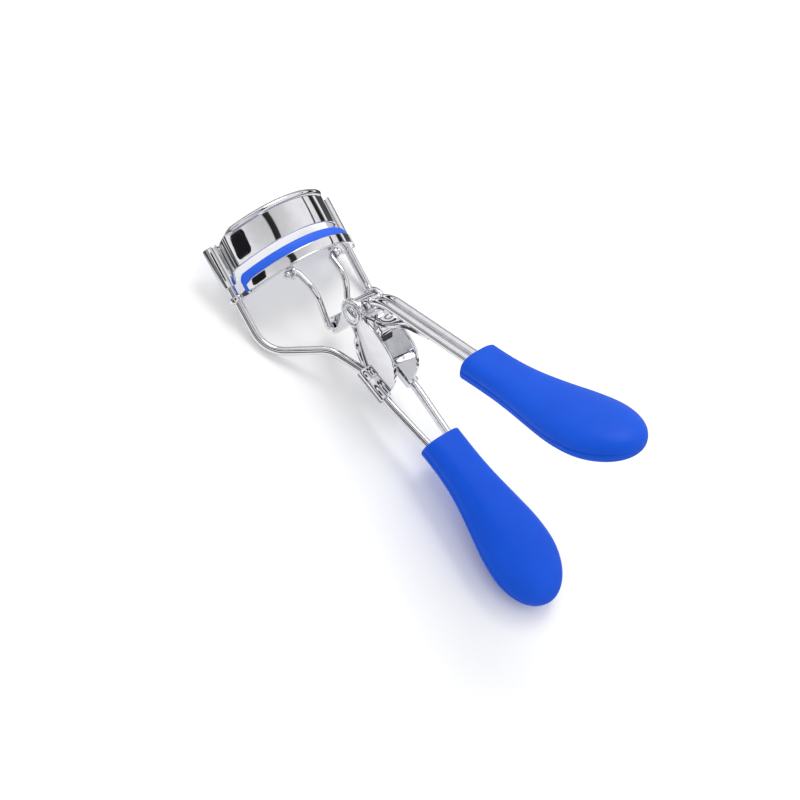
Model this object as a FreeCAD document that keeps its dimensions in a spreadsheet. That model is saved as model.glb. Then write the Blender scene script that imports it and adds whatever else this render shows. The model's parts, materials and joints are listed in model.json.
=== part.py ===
"""Eyelash curler: two wires carry a fixed upper jaw, a padded lower jaw slides on them.

Drawing frame: X runs across the tool, Y up the guide wires towards the upper jaw, Z from the
concave face of the jaws towards their convex face and the handles.  Every sub-part is drawn
there and then gets the placement that lays the tool on its back, on a flat surface.
"""
import FreeCAD, Part
import Sketcher
import math
import os
import re

from FreeCAD import Placement, Rotation, Vector

doc = FreeCAD.newDocument("eyelash_curler")
sheet = doc.addObject("Spreadsheet::Sheet", "sizes")

# ------------------------------------------------------------------ driving dimensions (mm, deg)
DIMENSIONS = [
    ("guide_spacing", 33.0, "centre to centre of the two guide wires"),
    ("frame_wire", 2.0, "diameter of the frame wires"),
    ("guide_end", -14.0, "corner below the straight guide stretch"),
    ("bow_leg", 6.8, "frame wire from the middle, where its bow ends"),
    ("bow_rise", 7.2, "end of the bow above the crimps"),
    ("bow_back", 3.4, "end of the bow behind the crimps"),
    ("wire_past", 1.5, "straight wire beyond the crimps"),
    ("jaw_rise", 9.5, "how far the jaws bow forward of the guide wires"),
    ("jaw_sheet", 0.8, "sheet of the upper jaw"),
    ("jaw_foot", 4.0, "lower rim of the upper jaw at the guide wires"),
    ("jaw_height", 7.6, "upper jaw, rim to bead centre"),
    ("rim_tilt", 12.0, "tilt of the jaw rims, which lifts their middle"),
    ("bead_size", 1.3, "rolled bead on the upper rim"),
    ("sleeve_foot", 1.7, "lower end of the sleeves that grip the guide wires"),
    ("sleeve_length", 9.6, "length of those sleeves"),
    ("sleeve_sheet", 0.7, "wall of the sleeves"),
    ("sleeve_slot", 0.5, "open seam of each sleeve"),
    ("slot_turn", 38.0, "turn of that seam towards the middle"),
    ("jaw_gap", 1.7, "open space between the pad and the upper jaw"),
    ("pad_width", 2.8, "lash pad across its top"),
    ("pad_show", 2.05, "pad above its channel"),
    ("pad_seat", 1.9, "pad inside its channel"),
    ("pad_reach", 13.4, "pad end from the middle"),
    ("pad_play", 0.05, "pad to channel wall"),
    ("channel_sheet", 0.6, "sheet of the lower jaw channel"),
    ("channel_reach", 14.0, "channel end from the middle"),
    ("eyelet_place", -1.2, "middle of the sliding eyelets"),
    ("eyelet_height", 1.4, "height of the sliding eyelets"),
    ("eyelet_wall", 0.8, "wall of the sliding eyelets"),
    ("tab_sheet", 1.6, "strip that joins each eyelet to the channel"),
    ("slide_play", 0.1, "radial play of an eyelet on its wire"),
    ("lug_place", 6.2, "middle of each yoke lug from the middle"),
    ("lug_sheet", 0.8, "sheet of the yoke lugs"),
    ("lug_drop", 1.3, "yoke pivot below the lower jaw"),
    ("lug_bury", 0.4, "lug sunk into the channel floor that it grows from"),
    ("yoke_wire", 1.5, "diameter of the yoke wire"),
    ("yoke_play", 0.1, "radial play of the yoke in its lugs"),
    ("yoke_bead", 0.93, "radius of the bead on each end of the yoke"),
    ("yoke_past", 0.9, "bead centre beyond the lug"),
    ("yoke_leg", 5.0, "yoke leg from the middle, beside its lug"),
    ("knee_leg", 4.5, "yoke leg from the middle, at the knee"),
    ("foot_leg", 2.9, "yoke leg from the middle, at the crosspiece"),
    ("knee_down", 7.8, "yoke knee below the guide zero"),
    ("knee_out", 10.8, "yoke knee forward of the guide wires"),
    ("rivet_down", 15.8, "hinge rivet below the guide zero"),
    ("rivet_out", 17.6, "hinge rivet forward of the guide wires"),
    ("crank_length", 11.4, "hinge rivet to the yoke crosspiece"),
    ("rivet_size", 2.6, "rivet shank"),
    ("rivet_head", 4.6, "rivet head"),
    ("rivet_brim", 0.3, "height of the rim of the rivet head"),
    ("rivet_dome", 1.1, "height of the domed rivet head"),
    ("hinge_play", 0.05, "radial play of the lever on the rivet"),
    ("ear_gap", 6.0, "clear width between the bracket ears"),
    ("ear_sheet", 0.8, "sheet of the bracket"),
    ("ear_head", 3.4, "radius of the ear round the rivet"),
    ("crimp_start", 27.6, "front of the crimps below the guide zero"),
    ("crimp_out", 11.9, "front of the crimps forward of the guide wires"),
    ("crimp_length", 8.2, "length of the crimps"),
    ("crimp_leg", 4.2, "frame wire from the middle, in the crimp"),
    ("crimp_sheet", 0.7, "wall of the crimps"),
    ("lower_angle", 18.0, "lower handle from the guide direction"),
    ("lower_reach", 21.8, "front of the crimps to the lower grip"),
    ("grip_leg", 3.0, "frame wire from the middle, in the lower grip"),
    ("upper_angle", 40.5, "upper handle from the guide direction"),
    ("upper_reach", 25.0, "bend of the upper handle to its grip"),
    ("bend_out", 8.0, "bend of the upper handle above the rivet"),
    ("handle_wire", 2.0, "diameter of the upper handle wires"),
    ("handle_leg", 1.15, "upper handle wire from the middle"),
    ("barrel_radius", 2.7, "lever barrel round the rivet"),
    ("side_play", 0.15, "lever to bracket ear"),
    ("arm_width", 3.4, "width of the lever arm"),
    ("arm_depth", 3.6, "depth of the lever arm"),
    ("arm_sheet", 0.7, "sides of the hollow lever arm"),
    ("arm_floor", 0.8, "floor of the hollow lever arm"),
    ("knuckle_play", 0.5, "radial play of the crosspiece in the knuckle"),
    ("knuckle_wall", 0.7, "wall of the knuckle"),
    ("gusset_width", 4.8, "width of the gusset plate"),
    ("gusset_reach", 14.0, "gusset plate along the upper handle"),
    ("tongue_width", 3.2, "pressed tongue behind the barrel"),
    ("grip_length", 42.0, "grip along its curved spine"),
    ("grip_curve", 18.0, "angle that the grip turns outward"),
    ("paddle_place", 0.72, "place of the widest section, as a share of the grip"),
    ("grip_insert", 15.0, "wire inside a grip"),
    ("mouth_width", 10.6, "grip width at its mouth"),
    ("mouth_depth", 6.0, "grip depth at its mouth"),
    ("paddle_width", 17.8, "grip width at the paddle"),
    ("paddle_depth", 8.0, "grip depth at the paddle"),
]
for row, (alias, value, note) in enumerate(DIMENSIONS, start=1):
    sheet.set(f"A{row}", note)
    sheet.set(f"B{row}", str(value))
    sheet.setAlias(f"B{row}", alias)
doc.recompute()


def size(alias):
    """One driving dimension, read back from the spreadsheet."""
    return float(sheet.get(alias))


# ------------------------------------------------------------------------ places worked out once
def point(across, up, out):
    """Place or direction: across the tool, up the guide wires, out towards the handles."""
    return Vector(across, up, out)


GUIDE_X = size("guide_spacing") / 2
WIRE_R = size("frame_wire") / 2
ARC_R = (GUIDE_X ** 2 + size("jaw_rise") ** 2) / (2 * size("jaw_rise"))
ARC_Z = size("jaw_rise") - ARC_R
TILT = math.radians(size("rim_tilt"))
RIVET = point(0, -size("rivet_down"), size("rivet_out"))
CROSS = RIVET - point(0, 0, size("crank_length"))
CRIMP = point(0, -size("crimp_start"), size("crimp_out"))


def handle_direction(degrees):
    """Unit vector down a handle that rises by this angle from the guide wires' line."""
    angle = math.radians(degrees)
    return point(0, -math.cos(angle), math.sin(angle))


def square_below(degrees):
    """Unit vector square to such a handle, on the side of the hollow of the jaws."""
    angle = math.radians(degrees)
    return point(0, -math.sin(angle), -math.cos(angle))


LOWER = handle_direction(size("lower_angle"))
UPPER = handle_direction(size("upper_angle"))
LOWER_MOUTH = CRIMP + LOWER * size("lower_reach")
BEND = RIVET + point(0, -1.0, size("bend_out"))
UPPER_MOUTH = BEND + UPPER * size("upper_reach")


def rim_height(level, out):
    """Height at this distance forward of a tilted rim that starts at this level."""
    return level + math.tan(TILT) * out


def arc_out(across):
    """How far forward the middle surface of the jaws lies at this distance from the middle."""
    return ARC_Z + math.sqrt(ARC_R ** 2 - across ** 2)


PAD_TOP = size("jaw_foot") - size("jaw_gap")
CHANNEL_TOP = PAD_TOP - size("pad_show")
CHANNEL_HEIGHT = size("pad_seat") + size("channel_sheet")
CHANNEL_HALF = size("pad_width") / 2 + size("pad_play") + size("channel_sheet")
LUG_OUT = arc_out(size("lug_place"))
LUG_UP = rim_height(CHANNEL_TOP - CHANNEL_HEIGHT, LUG_OUT) - size("lug_drop")
LUG_R = size("yoke_wire") / 2 + size("yoke_play") + size("lug_sheet")


# ---------------------------------------------------------------------- solids bound to the sheet
ARC_TEXT = "(guide_spacing ^ 2 / 4 + jaw_rise ^ 2) / (2 * jaw_rise)"
TALL = 60.0
ALONG_Y = Rotation(point(1, 0, 0), -90)
ALONG_X = Rotation(point(0, 1, 0), 90)


def bound(kind, name, place, **formulas):
    """Part primitive with its sizes bound to formulas of the sheet's aliases."""
    item = doc.addObject("Part::" + kind, name)
    for key, text in formulas.items():
        item.setExpression(key, re.sub(r"\b([a-z]+_[a-z]+)\b", r"sizes.\1", text))
    item.Placement = place
    return item


def upright(name, radius, height, foot):
    """Cylinder that stands on a point, along the guide wires."""
    return bound("Cylinder", name, Placement(foot, ALONG_Y), Radius=radius, Height=height)


def fused(name, *items):
    """Union of document objects."""
    whole = doc.addObject("Part::MultiFuse", name)
    whole.Shapes = list(items)
    whole.Refine = True
    return whole


def trimmed(name, base, tool):
    """One document object less another."""
    rest = doc.addObject("Part::Cut", name)
    rest.Base = base
    rest.Tool = tool
    rest.Refine = True
    return rest


def shared(name, *items):
    """What document objects have in common."""
    common = doc.addObject("Part::MultiCommon", name)
    common.Shapes = list(items)
    common.Refine = True
    return common


def arched_band(name, inner, outer, level, height, reach, wide):
    """Arched band between two radii, with tilted rims.

    inner, outer, height and reach are formulas; level is the lower rim at the guide wires, and
    wide is the value of outer.
    """
    foot = point(0, -TALL / 2, ARC_Z)
    tube = trimmed(name + "_tube", upright(name + "_outside", outer, str(TALL), foot),
                   upright(name + "_inside", inner, str(TALL), foot))
    tip = Rotation(point(1, 0, 0), -size("rim_tilt"))
    slab = bound("Box", name + "_slab", Placement(), Length="2 * (%s)" % reach,
                 Width="(%s) * cos(rim_tilt)" % height, Height="2 * (%s)" % outer)
    doc.recompute()
    corner = tip.multVec(point(-slab.Length.Value / 2, 0, -wide / 2))
    slab.Placement = Placement(corner + point(0, level, 0), tip)
    return shared(name, tube, slab)


def front_half(name, start=0.0):
    """Block that keeps only what lies forward of the guide wires."""
    return bound("Box", name, Placement(point(-TALL / 2, -TALL / 2, start), Rotation()),
                 Length=str(TALL), Width=str(TALL), Height="guide_spacing")


# ---------------------------------------------------------------------------------- small helpers
def corner_arc(before, corner, after, radius):
    """Start, middle and end of the arc that rounds a corner with this radius."""
    back = (before - corner).normalize()
    ahead = (after - corner).normalize()
    half = back.getAngle(ahead) / 2
    trim = radius / math.tan(half)
    middle = corner + (back + ahead).normalize() * (radius / math.sin(half) - radius)
    return corner + back * trim, middle, corner + ahead * trim


def wire_path(points, radii):
    """Straight runs joined by tangent arcs; radii holds one radius for each inner point."""
    edges = []
    here = points[0]
    for index, radius in enumerate(radii, start=1):
        start, middle, end = corner_arc(points[index - 1], points[index], points[index + 1], radius)
        edges.append(Part.LineSegment(here, start).toShape())
        edges.append(Part.Arc(start, middle, end).toShape())
        here = end
    edges.append(Part.LineSegment(here, points[-1]).toShape())
    return Part.Wire(edges)


def bent_wire(points, radii, diameter):
    """Round wire along such a path."""
    path = wire_path(points, radii)
    ring = Part.Wire(Part.makeCircle(diameter / 2, points[0], points[1] - points[0]))
    return Part.Wire(path.Edges).makePipeShell([ring], True, True)


def rod(start, end, radius):
    """Cylinder from one point to another."""
    return Part.makeCylinder(radius, (end - start).Length, start, end - start)


def side_plate(outline, left, right):
    """Plate between two distances across, cut to an outline of edges drawn in the middle plane."""
    face = Part.Face(Part.Wire(outline))
    face.translate(point(left, 0, 0))
    return face.extrude(point(right - left, 0, 0))


def line(start, end):
    """Straight edge."""
    return Part.LineSegment(start, end).toShape()


def arc(start, middle, end):
    """Edge through three points of a circle."""
    return Part.Arc(start, middle, end).toShape()


def mirrored(shape):
    """The same shape on the other side of the tool."""
    return shape.mirror(point(0, 0, 0), point(1, 0, 0))


def feature(label, shape):
    """Sub-part whose shape is worked out above, under its own label."""
    item = doc.addObject("Part::Feature", label)
    item.Label = label
    item.Shape = shape.removeSplitter()
    return item


# ------------------------------------------------------------------------------- the fixed frame
FRAME_BENDS = [4.5, 4.0, 3.0, 9.0, 9.0]
YOKE_BENDS = [1.0, 6.0, 1.0, 1.0, 6.0, 1.0]
HANDLE_BENDS = [3.2]


def frame_wire(side):
    """One side wire: guide, bow, crimp and the stretch that runs into the lower grip."""
    top = size("sleeve_foot") + size("sleeve_length") - 0.5 * size("frame_wire")
    grip_x = side * size("grip_leg")
    crimp_x = side * size("crimp_leg")
    crimp_end = CRIMP + LOWER * (size("crimp_length") + size("wire_past"))
    wire_end = LOWER_MOUTH + LOWER * size("grip_insert")
    points = [
        point(side * GUIDE_X, top, 0),
        point(side * GUIDE_X, size("guide_end"), 0),
        point(side * size("bow_leg"), CRIMP.y + size("bow_rise"), CRIMP.z - size("bow_back")),
        point(crimp_x, CRIMP.y, CRIMP.z),
        point(crimp_x, crimp_end.y, crimp_end.z),
        point(grip_x, LOWER_MOUTH.y, LOWER_MOUTH.z),
        point(grip_x, wire_end.y, wire_end.z),
    ]
    return bent_wire(points, FRAME_BENDS, size("frame_wire"))


def upper_jaw():
    """Arched band with a rolled bead on its upper rim and a split sleeve at each end."""
    half = size("jaw_sheet") / 2
    band = arched_band("jaw_band", ARC_TEXT + " - jaw_sheet / 2", ARC_TEXT + " + jaw_sheet / 2",
                       size("jaw_foot"), "jaw_height", "guide_spacing / 2", ARC_R + half)
    sheet_front = shared("jaw_front", band, front_half("jaw_keep"))
    rise = size("jaw_rise") / math.cos(TILT)
    bead_arc = (GUIDE_X ** 2 + rise ** 2) / (2 * rise)
    sweep = 2 * math.degrees(math.asin(GUIDE_X / bead_arc)) - 4.0
    shift = size("jaw_rise") - bead_arc * math.cos(TILT)
    level = rim_height(size("jaw_foot") + size("jaw_height"), shift)
    turned = Rotation(point(1, 0, 0), 90 - size("rim_tilt")).multiply(
        Rotation(point(0, 0, 1), 90 - sweep / 2))
    bead = bound("Torus", "jaw_bead", Placement(point(0, level, shift), turned),
                 Radius2="bead_size / 2", Angle1="-180", Angle2="180")
    bead.Radius1 = bead_arc
    bead.Angle3 = sweep
    sleeves = []
    openings = []
    for side, name in ((-1, "left"), (1, "right")):
        x = side * GUIDE_X
        sleeves.append(upright(name + "_sleeve", "frame_wire / 2 + sleeve_sheet", "sleeve_length",
                               point(x, size("sleeve_foot"), 0)))
        openings.append(upright(name + "_sleeve_bore", "frame_wire / 2", str(TALL),
                                point(x, -TALL / 2, 0)))
        turn = Rotation(point(0, 1, 0), side * size("slot_turn"))
        start = turn.multVec(point(-size("sleeve_slot") / 2, size("sleeve_foot") - 1, 0))
        openings.append(bound("Box", name + "_seam", Placement(start + point(x, 0, 0), turn),
                              Length="sleeve_slot", Width="sleeve_length + 2",
                              Height="frame_wire / 2 + sleeve_sheet + 1"))
    body = fused("jaw_body", sheet_front, bead, *sleeves)
    return trimmed("upper_jaw", body, fused("jaw_openings", *openings))


def ear_outline():
    """Side view of one ear: round head at the rivet, slim neck, full back, foot on the crimp."""
    head = size("ear_head")
    foot_front = CRIMP + LOWER * 0.4
    foot_back = CRIMP + LOWER * (size("crimp_length") - 0.4)
    crown = RIVET + point(0, -12.6, 4.7)
    shoulder = RIVET + point(0, -17.4, 1.6)
    brow = RIVET + point(0, -6.6, 4.1)
    back_of_head = RIVET + point(0, -0.35 * head, 0.937 * head)
    throat = RIVET + point(0, -0.5 * head, -0.866 * head)
    neck = RIVET + point(0, -5.2, -2.5)
    return [
        arc(throat, RIVET + point(0, head, 0), back_of_head),
        line(back_of_head, brow),
        arc(brow, crown, shoulder),
        line(shoulder, foot_back),
        line(foot_back, foot_front),
        line(foot_front, neck),
        line(neck, throat),
    ]


def hinge_bracket():
    """Two ears, the bowed web that joins their front edges, and a crimp round each frame wire."""
    inner = size("ear_gap") / 2
    outer = inner + size("ear_sheet")
    ear = side_plate(ear_outline(), inner, outer)
    shape = ear.fuse(mirrored(ear))
    crimp_end = CRIMP + LOWER * size("crimp_length")
    for side in (-1, 1):
        offset = point(side * size("crimp_leg"), 0, 0)
        sleeve = rod(CRIMP + offset, crimp_end + offset, WIRE_R + size("crimp_sheet"))
        shape = shape.fuse(sleeve)
    under = square_below(size("lower_angle"))
    down = under * size("ear_sheet")
    top_in = RIVET + point(0, -5.6, -3.0)
    top_out = top_in + point(0, 0.75, -0.2)
    bow_in = RIVET + point(0, -7.6, -5.2)
    bow_out = bow_in + point(0, 0.55, -0.6)
    turn = CRIMP + LOWER * 0.6 + under * 0.2
    rear = crimp_end - LOWER * 0.5 + under * 0.2
    outline = [
        arc(top_in, bow_in, turn),
        line(turn, rear),
        line(rear, rear + down),
        line(rear + down, turn + down),
        arc(turn + down, bow_out, top_out),
        line(top_out, top_in),
    ]
    shape = shape.fuse(side_plate(outline, -outer, outer))
    for side in (-1, 1):
        offset = point(side * size("crimp_leg"), 0, 0)
        past = LOWER * (2 * size("wire_past"))
        shape = shape.cut(rod(CRIMP + offset - past, crimp_end + offset + past, WIRE_R))
    beyond = point(size("ear_gap"), 0, 0)
    return shape.cut(rod(RIVET - beyond, RIVET + beyond, size("rivet_size") / 2))


def own_plane(body, role):
    """Origin plane of this body with this role."""
    return [item for item in body.Origin.OriginFeatures if item.Role == role][0]


def pin_point(sketch, geometry, end, across, up):
    """Hold one end of a sketch edge at a place given by two spreadsheet formulas."""
    for kind, text in (("DistanceX", across), ("DistanceY", up)):
        if text == "0":
            sketch.addConstraint(Sketcher.Constraint("PointOnObject", geometry, end,
                                                     -2 if kind == "DistanceX" else -1))
            continue
        where = sketch.getPoint(geometry, end)
        value = where.x if kind == "DistanceX" else where.y
        index = sketch.addConstraint(Sketcher.Constraint(kind, geometry, end, value))
        sketch.setExpression("Constraints[%d]" % index, text)


def pivot_rivet():
    """Rivet with a domed head on each side: a half profile turned about its own long axis."""
    body = doc.addObject("PartDesign::Body", "pivot_rivet")
    body.Label = "pivot_rivet"
    sketch = body.newObject("Sketcher::SketchObject", "rivet_profile")
    sketch.AttachmentSupport = [(own_plane(body, "XY_Plane"), "")]
    sketch.MapMode = "FlatFace"
    shank = size("rivet_size") / 2
    head = size("rivet_head") / 2
    seat = size("ear_gap") / 2 + size("ear_sheet")
    brim = seat + size("rivet_brim")
    tip = seat + size("rivet_dome")
    centre = (tip ** 2 - brim ** 2 - head ** 2) / (2 * (tip - brim))
    bow = math.atan2(head, brim - centre) / 2
    crest = Vector(centre + (tip - centre) * math.cos(bow), (tip - centre) * math.sin(bow), 0)
    seat_text = "sizes.ear_gap / 2 + sizes.ear_sheet"
    brim_text = seat_text + " + sizes.rivet_brim"
    tip_text = seat_text + " + sizes.rivet_dome"
    head_text = "sizes.rivet_head / 2"
    shank_text = "sizes.rivet_size / 2"
    corners = [
        (-tip, 0, "-(%s)" % tip_text, "0"),
        (-brim, head, "-(%s)" % brim_text, head_text),
        (-seat, head, "-(%s)" % seat_text, head_text),
        (-seat, shank, "-(%s)" % seat_text, shank_text),
        (seat, shank, seat_text, shank_text),
        (seat, head, seat_text, head_text),
        (brim, head, brim_text, head_text),
        (tip, 0, tip_text, "0"),
    ]
    domes = {0: Vector(-crest.x, crest.y, 0), 6: crest}
    for index, corner in enumerate(corners):
        follow = corners[(index + 1) % len(corners)]
        first = Vector(corner[0], corner[1], 0)
        last = Vector(follow[0], follow[1], 0)
        if index in domes:
            sketch.addGeometry(Part.Arc(first, domes[index], last), False)
        else:
            sketch.addGeometry(Part.LineSegment(first, last), False)
    for index, corner in enumerate(corners):
        if index in domes:
            continue
        pin_point(sketch, index, 1, corner[2], corner[3])
        if index + 1 in domes or index == len(corners) - 1:
            follow = corners[(index + 1) % len(corners)]
            pin_point(sketch, index, 2, follow[2], follow[3])
    for index in range(len(corners)):
        follow = (index + 1) % len(corners)
        ends = [2, 1]
        if index in domes and sketch.getPoint(index, 1).distanceToPoint(sketch.getPoint(follow, 1)) < 0.001:
            ends[0] = 1
        if follow in domes and sketch.getPoint(follow, 2).distanceToPoint(
                sketch.getPoint(index, ends[0])) < 0.001:
            ends[1] = 2
        sketch.addConstraint(Sketcher.Constraint("Coincident", index, ends[0], follow, ends[1]))
    for index in domes:
        sketch.addConstraint(Sketcher.Constraint("PointOnObject", index, 3, -1))
    turned = body.newObject("PartDesign::Revolution", "rivet_turned")
    turned.Profile = sketch
    turned.ReferenceAxis = (sketch, ["H_Axis"])
    turned.Angle = 360
    doc.recompute()
    return body


# ------------------------------------------------------------------------------ the sliding jaw
def lower_jaw():
    """Arched channel for the pad, an eyelet round each guide wire and two lugs for the yoke."""
    outer = "pad_width / 2 + pad_play + channel_sheet"
    inner = "pad_width / 2 + pad_play"
    height = "pad_seat + channel_sheet"
    shell = arched_band("channel_band", "%s - (%s)" % (ARC_TEXT, outer), "%s + %s" % (ARC_TEXT, outer),
                        CHANNEL_TOP - CHANNEL_HEIGHT, height, "channel_reach", ARC_R + CHANNEL_HALF)
    groove = arched_band("channel_groove", "%s - (%s)" % (ARC_TEXT, inner), "%s + %s" % (ARC_TEXT, inner),
                         CHANNEL_TOP - size("pad_seat"), "pad_seat + 1", "pad_reach + pad_play",
                         ARC_R + CHANNEL_HALF - size("channel_sheet"))
    channel = shared("channel_front", trimmed("channel", shell, groove), front_half("channel_keep"))
    level = size("eyelet_place") - size("eyelet_height") / 2
    foot = point(0, level, ARC_Z)
    strip = trimmed("tab_ring",
                    upright("tab_outside", ARC_TEXT + " + tab_sheet / 2", "eyelet_height", foot),
                    upright("tab_inside", ARC_TEXT + " - tab_sheet / 2", "eyelet_height", foot))
    reach = bound("Box", "tab_keep", Placement(point(-GUIDE_X, -TALL / 2, 0), Rotation()),
                  Length="guide_spacing", Width=str(TALL), Height="guide_spacing")
    middle = bound("Box", "tab_gap", Placement(point(-size("pad_reach"), -TALL / 2, -TALL / 4), Rotation()),
                   Length="2 * pad_reach", Width=str(TALL), Height=str(TALL))
    solids = [channel, trimmed("tabs", shared("tab_arc", strip, reach), middle)]
    bores = []
    half = size("lug_sheet") / 2
    for side, name in ((-1, "left"), (1, "right")):
        x = side * GUIDE_X
        solids.append(upright(name + "_eyelet", "frame_wire / 2 + slide_play + eyelet_wall",
                              "eyelet_height", point(x, level, 0)))
        bores.append(upright(name + "_eyelet_bore", "frame_wire / 2 + slide_play", str(TALL / 2),
                             point(x, -TALL / 4, 0)))
        start = point(side * size("lug_place") - half, LUG_UP, LUG_OUT)
        solids.append(bound("Cylinder", name + "_lug", Placement(start, ALONG_X),
                            Radius="yoke_wire / 2 + yoke_play + lug_sheet", Height="lug_sheet"))
        stem = Placement(start - point(0, 0, LUG_R * 0.9), Rotation())
        solids.append(bound("Box", name + "_lug_stem", stem, Length="lug_sheet", Width="lug_drop + lug_bury",
                            Height="1.8 * (yoke_wire / 2 + yoke_play + lug_sheet)"))
        bores.append(bound("Cylinder", name + "_lug_bore", Placement(start - point(half * 8, 0, 0), ALONG_X),
                           Radius="yoke_wire / 2 + yoke_play", Height="9 * lug_sheet"))
    return trimmed("lower_jaw", fused("lower_jaw_body", *solids), fused("lower_jaw_bores", *bores))


def lash_pad():
    """Rubber strip that stands in the channel and above it."""
    strip = arched_band("pad_band", ARC_TEXT + " - pad_width / 2", ARC_TEXT + " + pad_width / 2",
                        CHANNEL_TOP - size("pad_seat"), "pad_seat + pad_show", "pad_reach",
                        ARC_R + size("pad_width") / 2)
    return shared("lash_pad", strip, front_half("pad_keep", 0.3))


# ----------------------------------------------------------------------------------- the yoke
def yoke_wire():
    """Bent wire: beaded ends in the lugs, two legs with a knee, and the crosspiece."""
    tip = size("lug_place") + size("lug_sheet") / 2 + size("yoke_past")
    left = [
        point(-tip, LUG_UP, LUG_OUT),
        point(-size("yoke_leg"), LUG_UP, LUG_OUT),
        point(-size("knee_leg"), -size("knee_down"), size("knee_out")),
        point(-size("foot_leg"), CROSS.y, CROSS.z),
    ]
    right = [point(-place.x, place.y, place.z) for place in reversed(left)]
    shape = bent_wire(left + right, YOKE_BENDS, size("yoke_wire"))
    for side in (-1, 1):
        bead = Part.makeSphere(size("yoke_bead"), point(side * tip, LUG_UP, LUG_OUT))
        shape = shape.fuse(bead)
    return shape


# ---------------------------------------------------------------------------------- the lever
def handle_wire(side):
    """One of the paired upper handle wires, from the lever barrel into the upper grip."""
    x = side * size("handle_leg")
    end = UPPER_MOUTH + UPPER * size("grip_insert")
    points = [
        point(x, RIVET.y + 0.2, RIVET.z + size("barrel_radius") + 0.6),
        point(x, BEND.y, BEND.z),
        point(x, end.y, end.z),
    ]
    return bent_wire(points, HANDLE_BENDS, size("handle_wire"))


def lever_channel(wires):
    """Pressed lever: barrel on the rivet, arm with an open knuckle, gusset under the wires."""
    barrel_half = size("ear_gap") / 2 - size("side_play")
    barrel_r = size("barrel_radius")
    shape = rod(RIVET - point(barrel_half, 0, 0), RIVET + point(barrel_half, 0, 0), barrel_r)
    arm_half = size("arm_width") / 2
    knuckle_in = size("yoke_wire") / 2 + size("knuckle_play")
    knuckle_out = knuckle_in + size("knuckle_wall")
    depth = size("arm_depth") / 2
    arm_foot = CROSS + point(0, 0, knuckle_in * 0.6)
    arm = [
        line(RIVET + point(0, depth, 0), RIVET + point(0, -depth, 0)),
        line(RIVET + point(0, -depth, 0), arm_foot + point(0, -depth, 0)),
        line(arm_foot + point(0, -depth, 0), arm_foot + point(0, depth, 0)),
        line(arm_foot + point(0, depth, 0), RIVET + point(0, depth, 0)),
    ]
    shape = shape.fuse(side_plate(arm, -arm_half, arm_half))
    shape = shape.fuse(rod(CROSS - point(arm_half, 0, 0), CROSS + point(arm_half, 0, 0), knuckle_out))
    inside = arm_half - size("arm_sheet")
    hollow = Part.makeBox(inside * 2, depth * 2, size("crank_length") - barrel_r - knuckle_out)
    hollow.translate(point(-inside, CROSS.y - depth + size("arm_floor"), CROSS.z + knuckle_out))
    shape = shape.cut(hollow)
    beyond = size("ear_gap")
    shape = shape.cut(rod(CROSS - point(beyond, 0, 0), CROSS + point(beyond, 0, 0), knuckle_in))
    mouth = Part.makeBox(beyond, knuckle_out + 2, knuckle_in * 1.3)
    mouth.translate(CROSS + point(-beyond / 2, 0, -knuckle_in * 0.65))
    shape = shape.cut(mouth)
    across = point(0, UPPER.z, -UPPER.y)
    under = size("handle_wire") / 2
    front = RIVET + point(0, 1.9, barrel_r - 1.4)
    crest = BEND + point(0, 1.8, 0.4)
    tip = BEND + UPPER * size("gusset_reach")
    tip_top = tip - across * (under - 1.0)
    tip_foot = tip - across * (under + 0.8)
    heel = RIVET + point(0, -4.3, 2.2)
    sole = RIVET + point(0, -2.0, 0.6)
    outline = [
        line(front, crest),
        line(crest, tip_top),
        line(tip_top, tip_foot),
        arc(tip_foot, BEND + point(0, -3.6, -1.6), heel),
        line(heel, sole),
        line(sole, front),
    ]
    half = size("gusset_width") / 2
    shape = shape.fuse(side_plate(outline, -half, half))
    root_in = RIVET + point(0, -3.6, 2.6)
    root_out = RIVET + point(0, -3.6, 3.4)
    lip_in = RIVET + point(0, -8.2, 1.2)
    lip_out = RIVET + point(0, -8.6, 1.8)
    tongue = [
        arc(root_in, RIVET + point(0, -6.2, 2.9), lip_in),
        line(lip_in, lip_out),
        arc(lip_out, RIVET + point(0, -6.2, 3.7), root_out),
        line(root_out, root_in),
    ]
    half = size("tongue_width") / 2
    shape = shape.fuse(side_plate(tongue, -half, half))
    for wire in wires:
        shape = shape.cut(wire)
    bore_r = size("rivet_size") / 2 + size("hinge_play")
    return shape.cut(rod(RIVET - point(beyond, 0, 0), RIVET + point(beyond, 0, 0), bore_r))


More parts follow.
